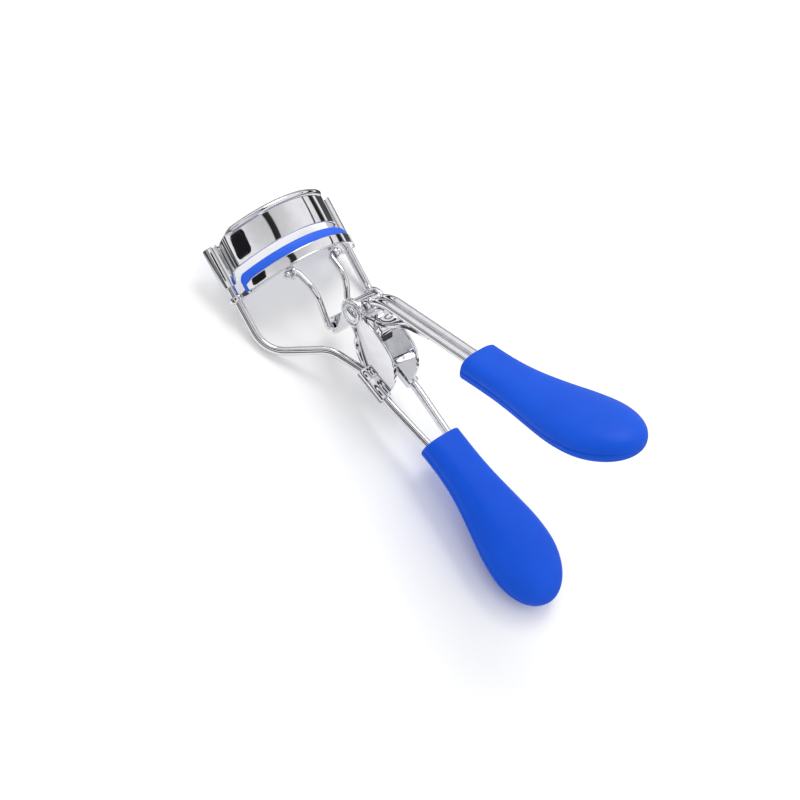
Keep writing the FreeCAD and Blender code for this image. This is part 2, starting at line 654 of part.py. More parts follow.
# ------------------------------------------------------------------------------------ the grips
def grip_blank(mouth, along, outward):
    """Solid paddle: sections set square on a spine that starts at the mouth and curves outward."""
    length = size("grip_length")
    spine_r = length / math.radians(size("grip_curve"))
    mouth_w = size("mouth_width") / 2
    mouth_d = size("mouth_depth") / 2
    paddle_w = size("paddle_width") / 2
    paddle_d = size("paddle_depth") / 2
    stations = 9
    sections = []
    for station in range(stations):
        share = station / (stations - 1) * size("paddle_place")
        swell = (1 - math.cos(math.pi * share / size("paddle_place"))) / 2
        sections.append((share * length, mouth_w + swell * (paddle_w - mouth_w),
                         mouth_d + swell * (paddle_d - mouth_d)))
    for turn in (30, 50, 66, 78):
        reach = math.sin(math.radians(turn))
        share = size("paddle_place") + (1 - size("paddle_place")) * reach
        sections.append((share * length, paddle_w * math.cos(math.radians(turn)),
                         paddle_d * math.cos(math.radians(turn)) ** 0.8))
    rings = []
    for run, wide, deep in sections:
        angle = run / spine_r
        centre = mouth + along * (spine_r * math.sin(angle)) + outward * (spine_r * (1 - math.cos(angle)))
        normal = along * math.cos(angle) + outward * math.sin(angle)
        ellipse = Part.Ellipse(Vector(0, 0, 0), wide, deep)
        upright = outward * math.cos(angle) - along * math.sin(angle)
        turn = FreeCAD.Matrix(1, 0, 0, centre.x,
                              0, upright.y, normal.y, centre.y,
                              0, upright.z, normal.z, centre.z,
                              0, 0, 0, 1)
        ring = Part.Wire(ellipse.toShape())
        rings.append(ring.transformGeometry(turn))
    return Part.makeLoft(rings, True, False)


def grip(mouth, along, outward, wires):
    """Moulded grip, pierced by the two wires that it is pushed on to."""
    shape = grip_blank(mouth, along, outward)
    for wire in wires:
        shape = shape.cut(wire)
    return shape


# ------------------------------------------------------------------------------------- assembly
left_frame = frame_wire(-1)
right_frame = frame_wire(1)
left_handle = handle_wire(-1)
right_handle = handle_wire(1)
below = square_below(size("lower_angle"))
above = square_below(size("upper_angle")) * -1


def lowest(shape, degrees):
    """Lowest point of a shape once it is turned by this angle about the X axis."""
    angle = math.radians(degrees)
    return min(spot.y * math.sin(angle) + spot.z * math.cos(angle) for spot in shape.tessellate(0.02)[0])


def lying_angle(front, rear):
    """Angle at which a front piece and a rear piece both touch the surface below."""
    flat, steep = 5.0, 35.0
    for _ in range(20):
        middle = (flat + steep) / 2
        if lowest(front, middle) < lowest(rear, middle):
            flat = middle
        else:
            steep = middle
    return (flat + steep) / 2


lower_grip = grip(LOWER_MOUTH, LOWER, below, (left_frame, right_frame))
lie_angle = lying_angle(left_frame, lower_grip)
turn = Rotation(point(1, 0, 0), lie_angle)
lie = Placement(point(0, 0, -lowest(left_frame, lie_angle)), turn)

sub_parts = [
    feature("left_frame_wire", left_frame),
    feature("right_frame_wire", right_frame),
    upper_jaw(),
    feature("hinge_bracket", hinge_bracket()),
    feature("lower_grip", lower_grip),
    lower_jaw(),
    lash_pad(),
    feature("yoke_wire", yoke_wire()),
    feature("lever_channel", lever_channel((left_handle, right_handle))),
    feature("left_handle_wire", left_handle),
    feature("right_handle_wire", right_handle),
    feature("upper_grip", grip(UPPER_MOUTH, UPPER, above, (left_handle, right_handle))),
]
doc.recompute()
rivet = pivot_rivet()
along = [turn.multVec(spot).y for item in sub_parts for spot in item.Shape.tessellate(0.02)[0]]
lie.Base.y = -(min(along) + max(along)) / 2
for item in sub_parts:
    item.Placement = lie
rivet.Placement = lie.multiply(Placement(RIVET, Rotation()))
sub_parts.append(rivet)
doc.recompute()

for item in doc.Objects:
    if "Invalid" in item.State or "Error" in item.State:
        raise RuntimeError("failed object: " + item.Label)
for item in sub_parts:
    if item.Shape.isNull() or not item.Shape.isValid() or not item.Shape.Solids:
        raise RuntimeError("bad shape: " + item.Label)

os.makedirs("parts", exist_ok=True)
for item in sub_parts:
    item.Shape.exportStep("parts/" + item.Label + ".step")

print("lying angle", round(lie_angle, 3), "shift", round(lie.Base.y, 3), "lift", round(lie.Base.z, 3))
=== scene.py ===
"""Looks of an eyelash curler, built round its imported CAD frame."""

import json
import logging
import math
from dataclasses import dataclass
from enum import Enum
from typing import Iterator, Sequence

import bmesh
import bpy
from mathutils import Matrix, Vector


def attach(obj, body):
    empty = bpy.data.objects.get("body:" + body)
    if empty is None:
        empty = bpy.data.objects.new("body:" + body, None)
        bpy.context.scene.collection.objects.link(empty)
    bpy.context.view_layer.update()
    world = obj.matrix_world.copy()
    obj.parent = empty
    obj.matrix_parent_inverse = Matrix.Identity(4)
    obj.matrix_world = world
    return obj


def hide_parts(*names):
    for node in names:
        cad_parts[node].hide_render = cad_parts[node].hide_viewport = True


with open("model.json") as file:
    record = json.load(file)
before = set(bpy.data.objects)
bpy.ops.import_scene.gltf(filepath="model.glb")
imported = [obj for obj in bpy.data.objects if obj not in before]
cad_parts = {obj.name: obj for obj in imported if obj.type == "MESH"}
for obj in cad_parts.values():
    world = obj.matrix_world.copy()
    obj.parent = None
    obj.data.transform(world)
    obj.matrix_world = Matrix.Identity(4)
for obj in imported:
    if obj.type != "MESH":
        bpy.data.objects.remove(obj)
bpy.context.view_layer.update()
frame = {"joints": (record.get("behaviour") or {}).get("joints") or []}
log = logging.getLogger("curler")

MM = 0.001
WELD = 1e-7
ACROSS, UP, OUT = Vector((1, 0, 0)), Vector((0, 1, 0)), Vector((0, 0, 1))
RIVET = Vector((0, -15.8, 17.6))  # drawn place of the hinge
CRIMP = Vector((0, -27.6, 11.9))  # drawn place of the front of the crimps
CRIMP_LENGTH = 8.2
CRIMP_LEG = 4.2
WIRE = 2.0  # diameter of the frame wires and of the handle wires
INSERT = 15.0  # wire inside a grip
Item = bpy.types.Object
Point2 = tuple[float, float]
Ring = list[Vector]


class Body(Enum):
    """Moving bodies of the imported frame."""

    FRAME = "frame"
    JAW = "lower_jaw"
    YOKE = "yoke"
    LEVER = "lever"


class Slot(Enum):
    """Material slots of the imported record."""

    CHROME = "chrome_steel"
    PLASTIC = "blue_plastic"
    RUBBER = "blue_rubber"


class Side(Enum):
    """The two halves of the tool, by the sign of their distance across."""

    left = -1
    right = 1


class Drawing:
    """Places on the tool's own drawing, in millimetres, turned into the frame's metres.

    Across runs over the tool, up runs along the guide wires to the upper jaw, and out runs
    from the hollow side of the jaws to the handles.
    """

    def __init__(self, joints: Sequence[dict]) -> None:
        """Read the slide's direction and the hinge's place.

        Args:
            joints: the frame's joints.
        """
        named = {joint["name"]: joint for joint in joints}
        self.up = Vector(named["jaw_slide"]["axis"]).normalized()
        self.out = ACROSS.cross(self.up)
        self.zero = Vector(named["handle_hinge"]["pos_m"]) - (self.up * RIVET.y + self.out * RIVET.z) * MM

    def place(self, spot: Vector) -> Vector:
        """A drawn place in metres."""
        return self.zero + (ACROSS * spot.x + self.up * spot.y + self.out * spot.z) * MM


DRAWING = Drawing(frame["joints"])


# --- meshes
def fan(count: int) -> list[float]:
    """Evenly spaced numbers from -1 to 1."""
    return [2 * k / (count - 1) - 1 for k in range(count)]


def circle(radius: float, sides: int) -> list[Point2]:
    """Points round a circle."""
    return [(radius * math.cos(2 * math.pi * k / sides), radius * math.sin(2 * math.pi * k / sides))
            for k in range(sides)]


def arc(centre: Point2, radius: float, start: float, end: float, steps: int) -> list[Point2]:
    """Points along an arc, its angles in degrees."""
    angles = [math.radians(start + (end - start) * k / steps) for k in range(steps + 1)]
    return [(centre[0] + radius * math.cos(a), centre[1] + radius * math.sin(a)) for a in angles]


def rounded_box(half_u: float, half_v: float, radius: float, steps: int = 4) -> list[Point2]:
    """Outline of a rectangle with rounded corners.

    Args:
        half_u: half the first side.
        half_v: half the second side.
        radius: corner radius, cut down where a side is too short for it.
        steps: segments in each corner.

    Returns:
        Points, anticlockwise.
    """
    radius = min(radius, half_u * 0.999, half_v * 0.999)
    outline = []
    for quarter, (sign_u, sign_v) in enumerate(((1, 1), (-1, 1), (-1, -1), (1, -1))):
        corner = (sign_u * (half_u - radius), sign_v * (half_v - radius))
        outline += arc(corner, radius, 90 * quarter, 90 * quarter + 90, steps)
    return outline


def ring_profile(half: float, inner: float, outer: float, soft: float, steps: int = 4) -> list[Point2]:
    """Lathe profile of a ring: (distance along the axis, radius), with rounded rims."""
    return [(along, (inner + outer) / 2 + radial)
            for along, radial in rounded_box(half, (outer - inner) / 2, soft, steps)]


def linked(name: str, data: bpy.types.ID) -> Item:
    """New object in the scene."""
    item = bpy.data.objects.new(name, data)
    bpy.context.collection.objects.link(item)
    return item


def cleaned(mesh: bpy.types.Mesh, sharp: float) -> bpy.types.Mesh:
    """Weld a mesh, turn its faces outward and shade it smooth.

    Args:
        mesh: the mesh, changed in place.
        sharp: folds steeper than this many degrees stay crisp.

    Returns:
        The same mesh.
    """
    work = bmesh.new()
    work.from_mesh(mesh)
    bmesh.ops.remove_doubles(work, verts=work.verts, dist=WELD)
    bmesh.ops.recalc_face_normals(work, faces=work.faces)
    work.to_mesh(mesh)
    work.free()
    mesh.shade_smooth()
    mesh.set_sharp_from_angle(angle=math.radians(sharp))
    return mesh


def loft(name: str, rings: Sequence[Ring], sharp: float = 38.0, closed: bool = False,
         wrap: bool = True) -> Item:
    """Skin over rings of equal length.

    Args:
        name: object name.
        rings: the rings, in metres.
        sharp: folds steeper than this many degrees stay crisp.
        closed: whether the last ring joins the first; if not, both ends are capped.
        wrap: whether a ring's last point joins its first.

    Returns:
        The linked object.
    """
    count, total = len(rings[0]), len(rings)
    faces = []
    for row in range(total if closed else total - 1):
        here, ahead = row * count, (row + 1) % total * count
        for k in range(count if wrap else count - 1):
            turn = (k + 1) % count
            faces.append((here + k, here + turn, ahead + turn, ahead + k))
    if not closed:
        faces += [tuple(reversed(range(count))), tuple(range((total - 1) * count, total * count))]
    mesh = bpy.data.meshes.new(name)
    mesh.from_pydata([tuple(spot) for ring in rings for spot in ring], [], faces)
    return linked(name, cleaned(mesh, sharp))


def merge(name: str, pieces: Sequence[Item]) -> Item:
    """One object from several, each left as its own closed shell.

    Args:
        name: object name.
        pieces: the objects, which are used up.

    Returns:
        The linked object.
    """
    whole = bmesh.new()
    for piece in pieces:
        whole.from_mesh(piece.data)
    mesh = bpy.data.meshes.new(name)
    whole.to_mesh(mesh)
    whole.free()
    for piece in pieces:
        spare = piece.data
        bpy.data.objects.remove(piece)
        bpy.data.meshes.remove(spare)
    return linked(name, mesh)


def drawn_ring(centre: Vector, axis_u: Vector, axis_v: Vector, section: Sequence[Point2]) -> Ring:
    """Ring of a flat section set at a drawn place, on two drawn axes."""
    return [DRAWING.place(centre + axis_u * u + axis_v * v) for u, v in section]


def lathe(name: str, centre: Vector, axis: Vector, side: Vector, profile: Sequence[Point2],
          sides: int = 48) -> Item:
    """Solid of revolution on a drawn axis.

    Args:
        name: object name.
        centre: drawn place of the profile's zero.
        axis: drawn direction of the axis.
        side: drawn direction square to it.
        profile: points (distance along the axis, radius), from axis to axis or round a hole.
        sides: segments round the axis.

    Returns:
        The linked object.
    """
    third = axis.cross(side)
    rings = []
    for k in range(sides):
        angle = 2 * math.pi * k / sides
        spoke = side * math.cos(angle) + third * math.sin(angle)
        rings.append(drawn_ring(centre, axis, spoke, profile))
    hollow = min(radius for _, radius in profile) > 1e-6
    return loft(name, rings, closed=True, wrap=hollow)


def rounded_route(corners: Sequence[Vector], radii: Sequence[float], steps: int) -> list[Vector]:
    """Drawn route of straight runs with an arc at each inner corner.

    Args:
        corners: drawn corners, ends included.
        radii: one radius for each inner corner.
        steps: segments in each arc.

    Returns:
        Points along the route.
    """
    route = [corners[0]]
    for before, corner, after, radius in zip(corners, corners[1:], corners[2:], radii):
        back, ahead = (before - corner).normalized(), (after - corner).normalized()
        half = back.angle(ahead) / 2
        hub = corner + (back + ahead).normalized() * (radius / math.sin(half))
        start = corner + back * (radius / math.tan(half)) - hub
        end = corner + ahead * (radius / math.tan(half)) - hub
        sweep = start.angle(end)
        for k in range(steps + 1):
            share = k / steps
            blend = start * math.sin((1 - share) * sweep) + end * math.sin(share * sweep)
            route.append(hub + blend / math.sin(sweep))
    route.append(corners[-1])
    return route


def hermite(start: Vector, leave: Vector, end: Vector, arrive: Vector, share: float) -> Vector:
    """Point of a cubic that leaves and arrives along given directions."""
    square, cube = share ** 2, share ** 3
    return (start * (2 * cube - 3 * square + 1) + leave * (cube - 2 * square + share)
            + end * (3 * square - 2 * cube) + arrive * (cube - square))


def curve_through(points: Sequence[Point2], count: int) -> list[Point2]:
    """Smooth open curve through flat points.

    Args:
        points: points that it passes.
        count: points to return, evenly spaced by the curve's parameter.

    Returns:
        Points along the curve, both ends included.
    """
    spots = [points[0], *points, points[-1]]
    spans = len(points) - 1
    curve = []
    for k in range(count):
        place = min(k / (count - 1) * spans, spans - 1e-9)
        index = int(place)
        t = place - index
        curve.append(tuple(
            0.5 * (2 * b + (c - a) * t + (2 * a - 5 * b + 4 * c - d) * t * t
                   + (3 * b - a - 3 * c + d) * t ** 3)
            for a, b, c, d in zip(*spots[index:index + 4])))
    return curve


def sheet_leaf(name: str, grid: Sequence[Sequence[Vector]], thick: float) -> Item:
    """Pressed sheet that follows a grid of drawn points, with a rounded edge all round.

    Args:
        name: object name.
        grid: rows of points on the sheet's middle surface.
        thick: sheet thickness.

    Returns:
        The linked object.
    """
    rows, columns = len(grid), len(grid[0])
    soft = min(0.14, thick * 0.3)
    rings = []
    for i, row in enumerate(grid):
        above, below = grid[max(i - 1, 0)], grid[min(i + 1, rows - 1)]
        before, after = [row[0], *row[:-1]], [*row[1:], row[-1]]
        normals = [(after[j] - before[j]).cross(below[j] - above[j]).normalized() for j in range(columns)]
        left, right = (row[0] - row[1]).normalized(), (row[-1] - row[-2]).normalized()
        near = [spot + normal * (thick / 2) for spot, normal in zip(row, normals)]
        far = [spot - normal * (thick / 2) for spot, normal in zip(row, normals)]
        ring = [near[0] - left * soft, *near[1:-1], near[-1] - right * soft,
                near[-1] - normals[-1] * soft, far[-1] + normals[-1] * soft,
                far[-1] - right * soft, *reversed(far[1:-1]), far[0] - left * soft,
                far[0] + normals[0] * soft, near[0] - normals[0] * soft]
        rings.append([DRAWING.place(spot) for spot in ring])
    return loft(name, rings, sharp=44)


# --- node trees
class Socket:
    """A node's value with Python's operators, each of which adds one Math node."""

    def __init__(self, nodes: "Nodes", plug: bpy.types.NodeSocket) -> None:
        """Wrap one output."""
        self.nodes = nodes
        self.plug = plug

    def math(self, operation: str, first: object, second: object) -> "Socket":
        """Math node on two values or sockets."""
        return self.nodes.add("ShaderNodeMath", {"operation": operation}, {0: first, 1: second})

    def __add__(self, other: object) -> "Socket":
        """Sum."""
        return self.math("ADD", self, other)

    def __mul__(self, other: object) -> "Socket":
        """Product."""
        return self.math("MULTIPLY", self, other)

    def __sub__(self, other: object) -> "Socket":
        """Difference."""
        return self.math("SUBTRACT", self, other)

    def __rsub__(self, other: object) -> "Socket":
        """Difference from a plain number."""
        return self.math("SUBTRACT", other, self)

    __radd__, __rmul__ = __add__, __mul__


class Nodes:
    """A node tree under construction."""

    def __init__(self, tree: bpy.types.NodeTree) -> None:
        """Keep the tree."""
        self.tree = tree

    def give(self, plug: bpy.types.NodeSocket, value: object) -> None:
        """Give an input a constant or a link."""
        if isinstance(value, Socket):
            self.tree.links.new(value.plug, plug)
        else:
            plug.default_value = value

    def add(self, kind: str, settings: dict, inputs: dict, output: object = 0) -> Socket | None:
        """Add a node.

        Args:
            kind: node type.
            settings: properties of the node, set first; a colour ramp's stops are
                (position, red and green, blue).
            inputs: socket name or number to a value or a Socket.
            output: which output to hand back.

        Returns:
            The chosen output, where the node has one.
        """
        node = self.tree.nodes.new(kind)
        for place, (position, grey, blue) in enumerate(settings.pop("stops", ())):
            ramp = node.color_ramp.elements
            stop = ramp[place] if place < 2 else ramp.new(position)
            stop.position, stop.color = position, (grey, grey, blue, 1)
        for key, value in settings.items():
            setattr(node, key, value)
        for key, value in inputs.items():
            self.give(node.inputs[key], value)
        return Socket(self, node.outputs[output]) if node.outputs else None

    def mix(self, share: object, first: object, second: object, mode: str = "MIX") -> Socket:
        """Colour between two sockets or tuples of three, by a share from 0 to 1."""
        pair = {6 + k: (*tone, 1) if isinstance(tone, tuple) else tone
                for k, tone in enumerate((first, second))}
        return self.add("ShaderNodeMix", {"data_type": "RGBA", "blend_type": mode},
                        {"Factor": share, **pair}, 2)


class WireTree:
    """Geometry Nodes tree that turns a curve into round wire of a given thickness."""

    def __init__(self) -> None:
        """Build the tree once, with inputs for the radius, the sides and the finish."""
        self.tree = bpy.data.node_groups.new("round_wire", "GeometryNodeTree")
        inputs = {"Geometry": "Geometry", "Radius": "Float", "Sides": "Int", "Finish": "Material"}
        face = self.tree.interface
        self.keys = {name: face.new_socket(name, in_out="INPUT", socket_type="NodeSocket" + kind).identifier
                     for name, kind in inputs.items()}
        face.new_socket("Geometry", in_out="OUTPUT", socket_type="NodeSocketGeometry")
        nodes = Nodes(self.tree)
        given = {name: nodes.add("NodeGroupInput", {}, {}, name) for name in inputs}
        profile = nodes.add("GeometryNodeCurvePrimitiveCircle", {},
                            {"Radius": given["Radius"], "Resolution": given["Sides"]}, "Curve")
        shape = nodes.add("GeometryNodeCurveToMesh", {},
                          {"Curve": given["Geometry"], "Profile Curve": profile, "Fill Caps": True})
        for step in ("SetShadeSmooth", "RealizeInstances"):
            shape = nodes.add("GeometryNode" + step, {}, {"Geometry": shape})
        shape = nodes.add("GeometryNodeSetMaterial", {}, {"Geometry": shape, "Material": given["Finish"]})
        nodes.add("NodeGroupOutput", {}, {"Geometry": shape})

    def wire(self, name: str, route: Sequence[Vector], diameter: float, finish: bpy.types.Material,
             sides: int = 40) -> Item:
        """Round wire along a drawn route.

        Args:
            name: object name.
            route: drawn points along the wire's middle.
            diameter: wire diameter in millimetres.
            finish: material of the wire.
            sides: facets round the wire.

        Returns:
            A plain mesh object.
        """
        curve = bpy.data.curves.new(name + "_path", "CURVE")
        curve.dimensions = "3D"
        spline = curve.splines.new("POLY")
        spline.points.add(len(route) - 1)
        for knot, spot in zip(spline.points, route):
            knot.co = (*DRAWING.place(spot), 1)
        path = linked(name + "_path", curve)
        nodes = path.modifiers.new("round_wire", "NODES")
        nodes.node_group = self.tree
        for key, value in (("Radius", diameter / 2 * MM), ("Sides", sides), ("Finish", finish)):
            nodes[self.keys[key]] = value
        mesh = bpy.data.meshes.new_from_object(path.evaluated_get(bpy.context.evaluated_depsgraph_get()))
        bpy.data.objects.remove(path)
        bpy.data.curves.remove(curve)
        return linked(name, cleaned(mesh, 50))


# --- finishes
class Shader(Nodes):
    """A material under construction: its nodes, and the Principled shader that they feed."""

    def __init__(self, name: str) -> None:
        """Start a node material with a Principled shader and Object coordinates."""
        self.material = bpy.data.materials.new(name)
        self.material.use_nodes = True
        super().__init__(self.material.node_tree)
        self.surface = next(node for node in self.tree.nodes if node.type == "BSDF_PRINCIPLED")
        self.where = self.add("ShaderNodeTexCoord", {}, {}, "Object")

    def feed(self, name: str, value: object) -> None:
        """Give a Principled input a constant or a link."""
        self.give(self.surface.inputs[name], value)

    def noise(self, scale: float, detail: float, stretch: tuple = (1, 1, 1)) -> Socket:
        """Noise with features about 1/scale metres wide, stretched along an axis if asked."""
        turned = self.add("ShaderNodeMapping", {}, {"Vector": self.where, "Scale": stretch})
        return self.add("ShaderNodeTexNoise", {}, {"Vector": turned, "Scale": scale, "Detail": detail})

    def ramp(self, value: Socket, low: float, high: float) -> Socket:
        """Value spread from 0 at one level to 1 at another, and held beyond them."""
        return self.add("ShaderNodeMapRange", {}, {"Value": value, "From Min": low, "From Max": high})

    def relief(self, height: Socket, distance: float, strength: float = 1.0) -> None:
        """Surface relief of this many metres."""
        self.feed("Normal", self.add("ShaderNodeBump", {}, {
            "Height": height, "Distance": distance, "Strength": strength}, "Normal"))


@dataclass(frozen=True)
class Plating:
    """Polished chrome plating: faint haze, fine wiping marks and a slightly wavy surface."""

    name: str
    polish: float = 0.045
    haze: float = 0.10
    wave: float = 17.6e-6
    tone: tuple = (0.80, 0.80, 0.82)
    shade: tuple = (0.70, 0.70, 0.73)

    def material(self) -> bpy.types.Material:
        """Build the material."""
        shader = Shader(self.name)
        cloud = shader.ramp(shader.noise(420, 4), 0.40, 0.72)
        marks = shader.ramp(shader.noise(2600, 2, (1, 0.12, 1)), 0.56, 0.80)
        shader.feed("Metallic", 1.0)
        shader.feed("Base Color", shader.mix(cloud * 0.6 + marks * 0.25, self.tone, self.shade))
        shader.feed("Roughness", self.polish + cloud * (self.haze * 0.45) + marks * (self.haze * 0.35))
        shader.relief(shader.noise(260, 2) + marks * 0.05, self.wave)
        return shader.material


@dataclass(frozen=True)
class MouldedPlastic:
    """Satin moulded plastic: fine spark texture, a little cloudiness and worn, glossier patches."""

    name: str
    colour: tuple = (0.002, 0.085, 0.66)
    deep: tuple = (0.002, 0.072, 0.58)
    gloss: float = 0.42
    grain: float = 5200.0
    shine: float = 0.15

    def material(self) -> bpy.types.Material:
        """Build the material."""
        shader = Shader(self.name)
        cloud = shader.ramp(shader.noise(90, 3), 0.35, 0.70)
        grain = shader.noise(self.grain, 2)
        worn = shader.ramp(shader.noise(240, 4), 0.52, 0.75)
        shader.feed("Base Color", shader.mix(cloud * 0.7 + grain * 0.15, self.colour, self.deep))
        shader.feed("Roughness", self.gloss + grain * 0.10 - worn * 0.07)
        shader.relief(grain + cloud * 0.6, 1.1e-5, 0.55)
        shader.feed("Specular IOR Level", self.shine)
        return shader.material


@dataclass(frozen=True)
class Silicone:
    """Soft silicone rubber: matte skin, faint mottling and fine pores."""

    name: str
    colour: tuple = (0.003, 0.110, 0.80)
    deep: tuple = (0.003, 0.096, 0.72)
    matte: float = 0.50

    def material(self) -> bpy.types.Material:
        """Build the material."""
        shader = Shader(self.name)
        mottle = shader.ramp(shader.noise(700, 3), 0.35, 0.70)
        pores = shader.ramp(shader.noise(9000, 2), 0.50, 0.75)
        shader.feed("Base Color", shader.mix(mottle * 0.6 + pores * 0.2, self.colour, self.deep))
        shader.feed("Roughness", self.matte + mottle * 0.08 + pores * 0.06)
        shader.relief(mottle * 0.5 - pores * 0.5, 8e-6, 0.6)
        return shader.material


class Finishes:
    """Every finish on the tool."""

    def __init__(self) -> None:
        """Build the materials."""
        self.chrome = Plating("chrome_plating").material()
        self.jaw = Plating("jaw_plating", 0.035, 0.07, 6.4e-6).material()
        self.wire = Plating("wire_plating", 0.035, 0.08, 4.0e-6).material()
        self.grip = MouldedPlastic("grip_plastic").material()
        self.pad = Silicone("pad_silicone").material()


# --- layouts
@dataclass(frozen=True)
class JawLayout:
    """Sizes that both jaws share, in millimetres, and the arch that they follow."""

    guide_x: float = 16.5
    rise: float = 9.5
    foot: float = 4.0
    tilt: float = 12.0

    @property
    def radius(self) -> float:
        """Radius of the jaws' middle surface in plan."""
        return (self.guide_x ** 2 + self.rise ** 2) / (2 * self.rise)

    def rim(self, level: float, out: float) -> float:
        """Height of a tilted rim that starts at a level, this far out."""
        return level + math.tan(math.radians(self.tilt)) * out

    def angle_at(self, across: float) -> float:
        """Angle of the middle surface at a distance across."""
        return math.asin(across / self.radius)

    def station(self, angle: float) -> tuple[float, float, Vector]:
        """Across, out and outward direction of the middle surface at an angle from straight out."""
        s, c = math.sin(angle), math.cos(angle)
        return self.radius * s, self.rise - self.radius + self.radius * c, Vector((s, 0, c))

    def sweep(self, limit: float, steps: int) -> Iterator[tuple[float, float, float, Vector]]:
        """Stations from one end of the arch to the other.

        Args:
            limit: angle of the ends.
            steps: spaces between the stations.

        Yields:
            Angle that is left to the nearer end, across, out and outward direction.
        """
        for share in fan(steps + 1):
            yield limit - abs(limit * share), *self.station(limit * share)


@dataclass
class HandleLayout:
    """Places that the handles, the bracket and the lever share, in drawn millimetres."""

    lower_angle: float = 18.0
    upper_angle: float = 40.5
    lower_reach: float = 21.8
    upper_reach: float = 25.0
    bend_rise: float = 8.0
    bend_down: float = 1.0
    crank: float = 11.4

    def __post_init__(self) -> None:
        """Work out the directions down the handles, the mouths, the bend and the crosspiece."""
        self.lower, self.upper = (Vector((0, -math.cos(angle), math.sin(angle)))
                                  for angle in map(math.radians, (self.lower_angle, self.upper_angle)))
        self.bend = RIVET + OUT * self.bend_rise - UP * self.bend_down
        self.lower_mouth = CRIMP + self.lower * self.lower_reach
        self.upper_mouth = self.bend + self.upper * self.upper_reach
        self.cross = RIVET - OUT * self.crank


@dataclass
class Kit:
    """What every sub-assembly shares."""

    finishes: Finishes
    wires: WireTree
    jaws: JawLayout
    handles: HandleLayout


@dataclass
class Assembly:
    """A sub-assembly, which models its pieces and dresses them."""

    kit: Kit

    def dress(self, piece: Item, node: str, body: Body, finish: bpy.types.Material,
              slot: Slot = Slot.CHROME) -> None:
        """Give a piece its finish and its body, and hide the CAD node that it stands for.

        Args:
            piece: the finished object.
            node: CAD node that it replaces.
            body: body that it rides on.
            finish: its material.
            slot: the record's slot; not used.
        """
        piece.data.materials.clear()
        piece.data.materials.append(finish)
        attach(piece, body.value)
        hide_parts(node)
        log.info("%s: %d faces on %s", piece.name, len(piece.data.polygons), body.value)


# --- jaws
@dataclass
class UpperJaw(Assembly):
    """Arched band with a rolled bead along its top rim and a sleeve rolled round each guide."""

    sheet: float = 0.7
    height: float = 7.6
    edge: float = 0.22
    bead: float = 1.55
    bead_short: float = 2.9  # end of the bead to the guide
    arch_short: float = 2.6  # end of the arch to the guide
    corner_short: float = 1.6  # end of the top corner to the guide
    corner: float = 2.2
    corner_share: float = 0.75
    sleeve_foot: float = 1.7
    sleeve_head: float = 11.3
    sleeve_play: float = 0.02
    sleeve_start: float = 212.0
    sleeve_end: float = 488.0

    def build(self) -> None:
        """Model and dress the whole jaw."""
        jaw = merge("upper_jaw_sheet", [self.band(), self.bead_roll()])
        self.dress(jaw, "upper_jaw", Body.FRAME, self.kit.finishes.jaw)

    def plan(self) -> list[tuple[float, float, float, float]]:
        """Sheet's middle line in plan for the right half, from the middle to the seam.

        Returns:
            Across, out, lower level and upper level of each station.
        """
        jaws = self.kit.jaws
        leave = jaws.angle_at(jaws.guide_x - self.arch_short)
        stations = []
        for k in range(45):
            across, out, _ = jaws.station(leave * k / 44)
            stations.append((across, out, *self.levels(across, out)))
        ring = arc((jaws.guide_x, 0.0), WIRE / 2 + self.sheet / 2 + self.sleeve_play,
                   self.sleeve_start, self.sleeve_end, 40)
        start, end = Vector((*stations[-1][:2], 0)), Vector((*ring[0], 0))
        reach = (end - start).length
        turn = math.radians(self.sleeve_start)
        heading = Vector((math.cos(leave), -math.sin(leave), 0)) * reach
        goal = Vector((-math.sin(turn), math.cos(turn), 0)) * reach
        for share in (k / 9 for k in range(1, 9)):
            place = hermite(start, heading, end, goal, share)
            low, high = self.levels(place.x, place.y)
            ease = min(max((share - 0.55) / 0.25, 0.0), 1.0)
            stations.append((place.x, place.y, low + (self.sleeve_foot - low) * ease,
                             high + (self.sleeve_head - high) * ease))
        return stations + [(*spot, self.sleeve_foot, self.sleeve_head) for spot in ring]

    def levels(self, across: float, out: float) -> Point2:
        """Lower and upper level of the band, with its top corners rounded off.

        Args:
            across: distance from the middle of the tool.
            out: distance out.

        Returns:
            The two levels.
        """
        jaws = self.kit.jaws
        low = jaws.rim(jaws.foot, out)
        left = jaws.guide_x - self.corner_short - across
        short = min(max(self.corner - left, 0.0), self.corner)
        drop = self.corner - math.sqrt(self.corner ** 2 - short ** 2)
        return low, low + self.height - drop * self.corner_share

    def band(self) -> Item:
        """The sheet itself: both halves of the plan, with rounded rims."""
        half = self.plan()
        line = [(-across, *rest) for across, *rest in reversed(half[1:])] + half
        rings = []
        for index, (across, out, low, high) in enumerate(line):
            before, after = line[max(index - 1, 0)], line[min(index + 1, len(line) - 1)]
            run = Vector((after[0] - before[0], after[1] - before[1])).normalized()
            section = rounded_box(self.sheet / 2, (high - low) / 2, self.edge)
            rings.append(drawn_ring(Vector((across, (low + high) / 2, out)),
                                    Vector((-run.y, 0, run.x)), UP, section))
        return loft("band", rings)

    def bead_roll(self) -> Item:
        """Rolled bead along the top rim, thinner towards its ends."""
        jaws = self.kit.jaws
        rings = []
        for left, across, out, outward in jaws.sweep(jaws.angle_at(jaws.guide_x - self.bead_short), 96):
            radius = self.bead / 2 * min(1.0, 0.45 + left / 0.16)
            high = self.levels(abs(across), out)[1]
            centre = Vector((across, high - 0.25, out)) + outward * (radius * 0.35)
            rings.append(drawn_ring(centre, outward, UP, circle(radius, 20)))
        return loft("bead", rings)


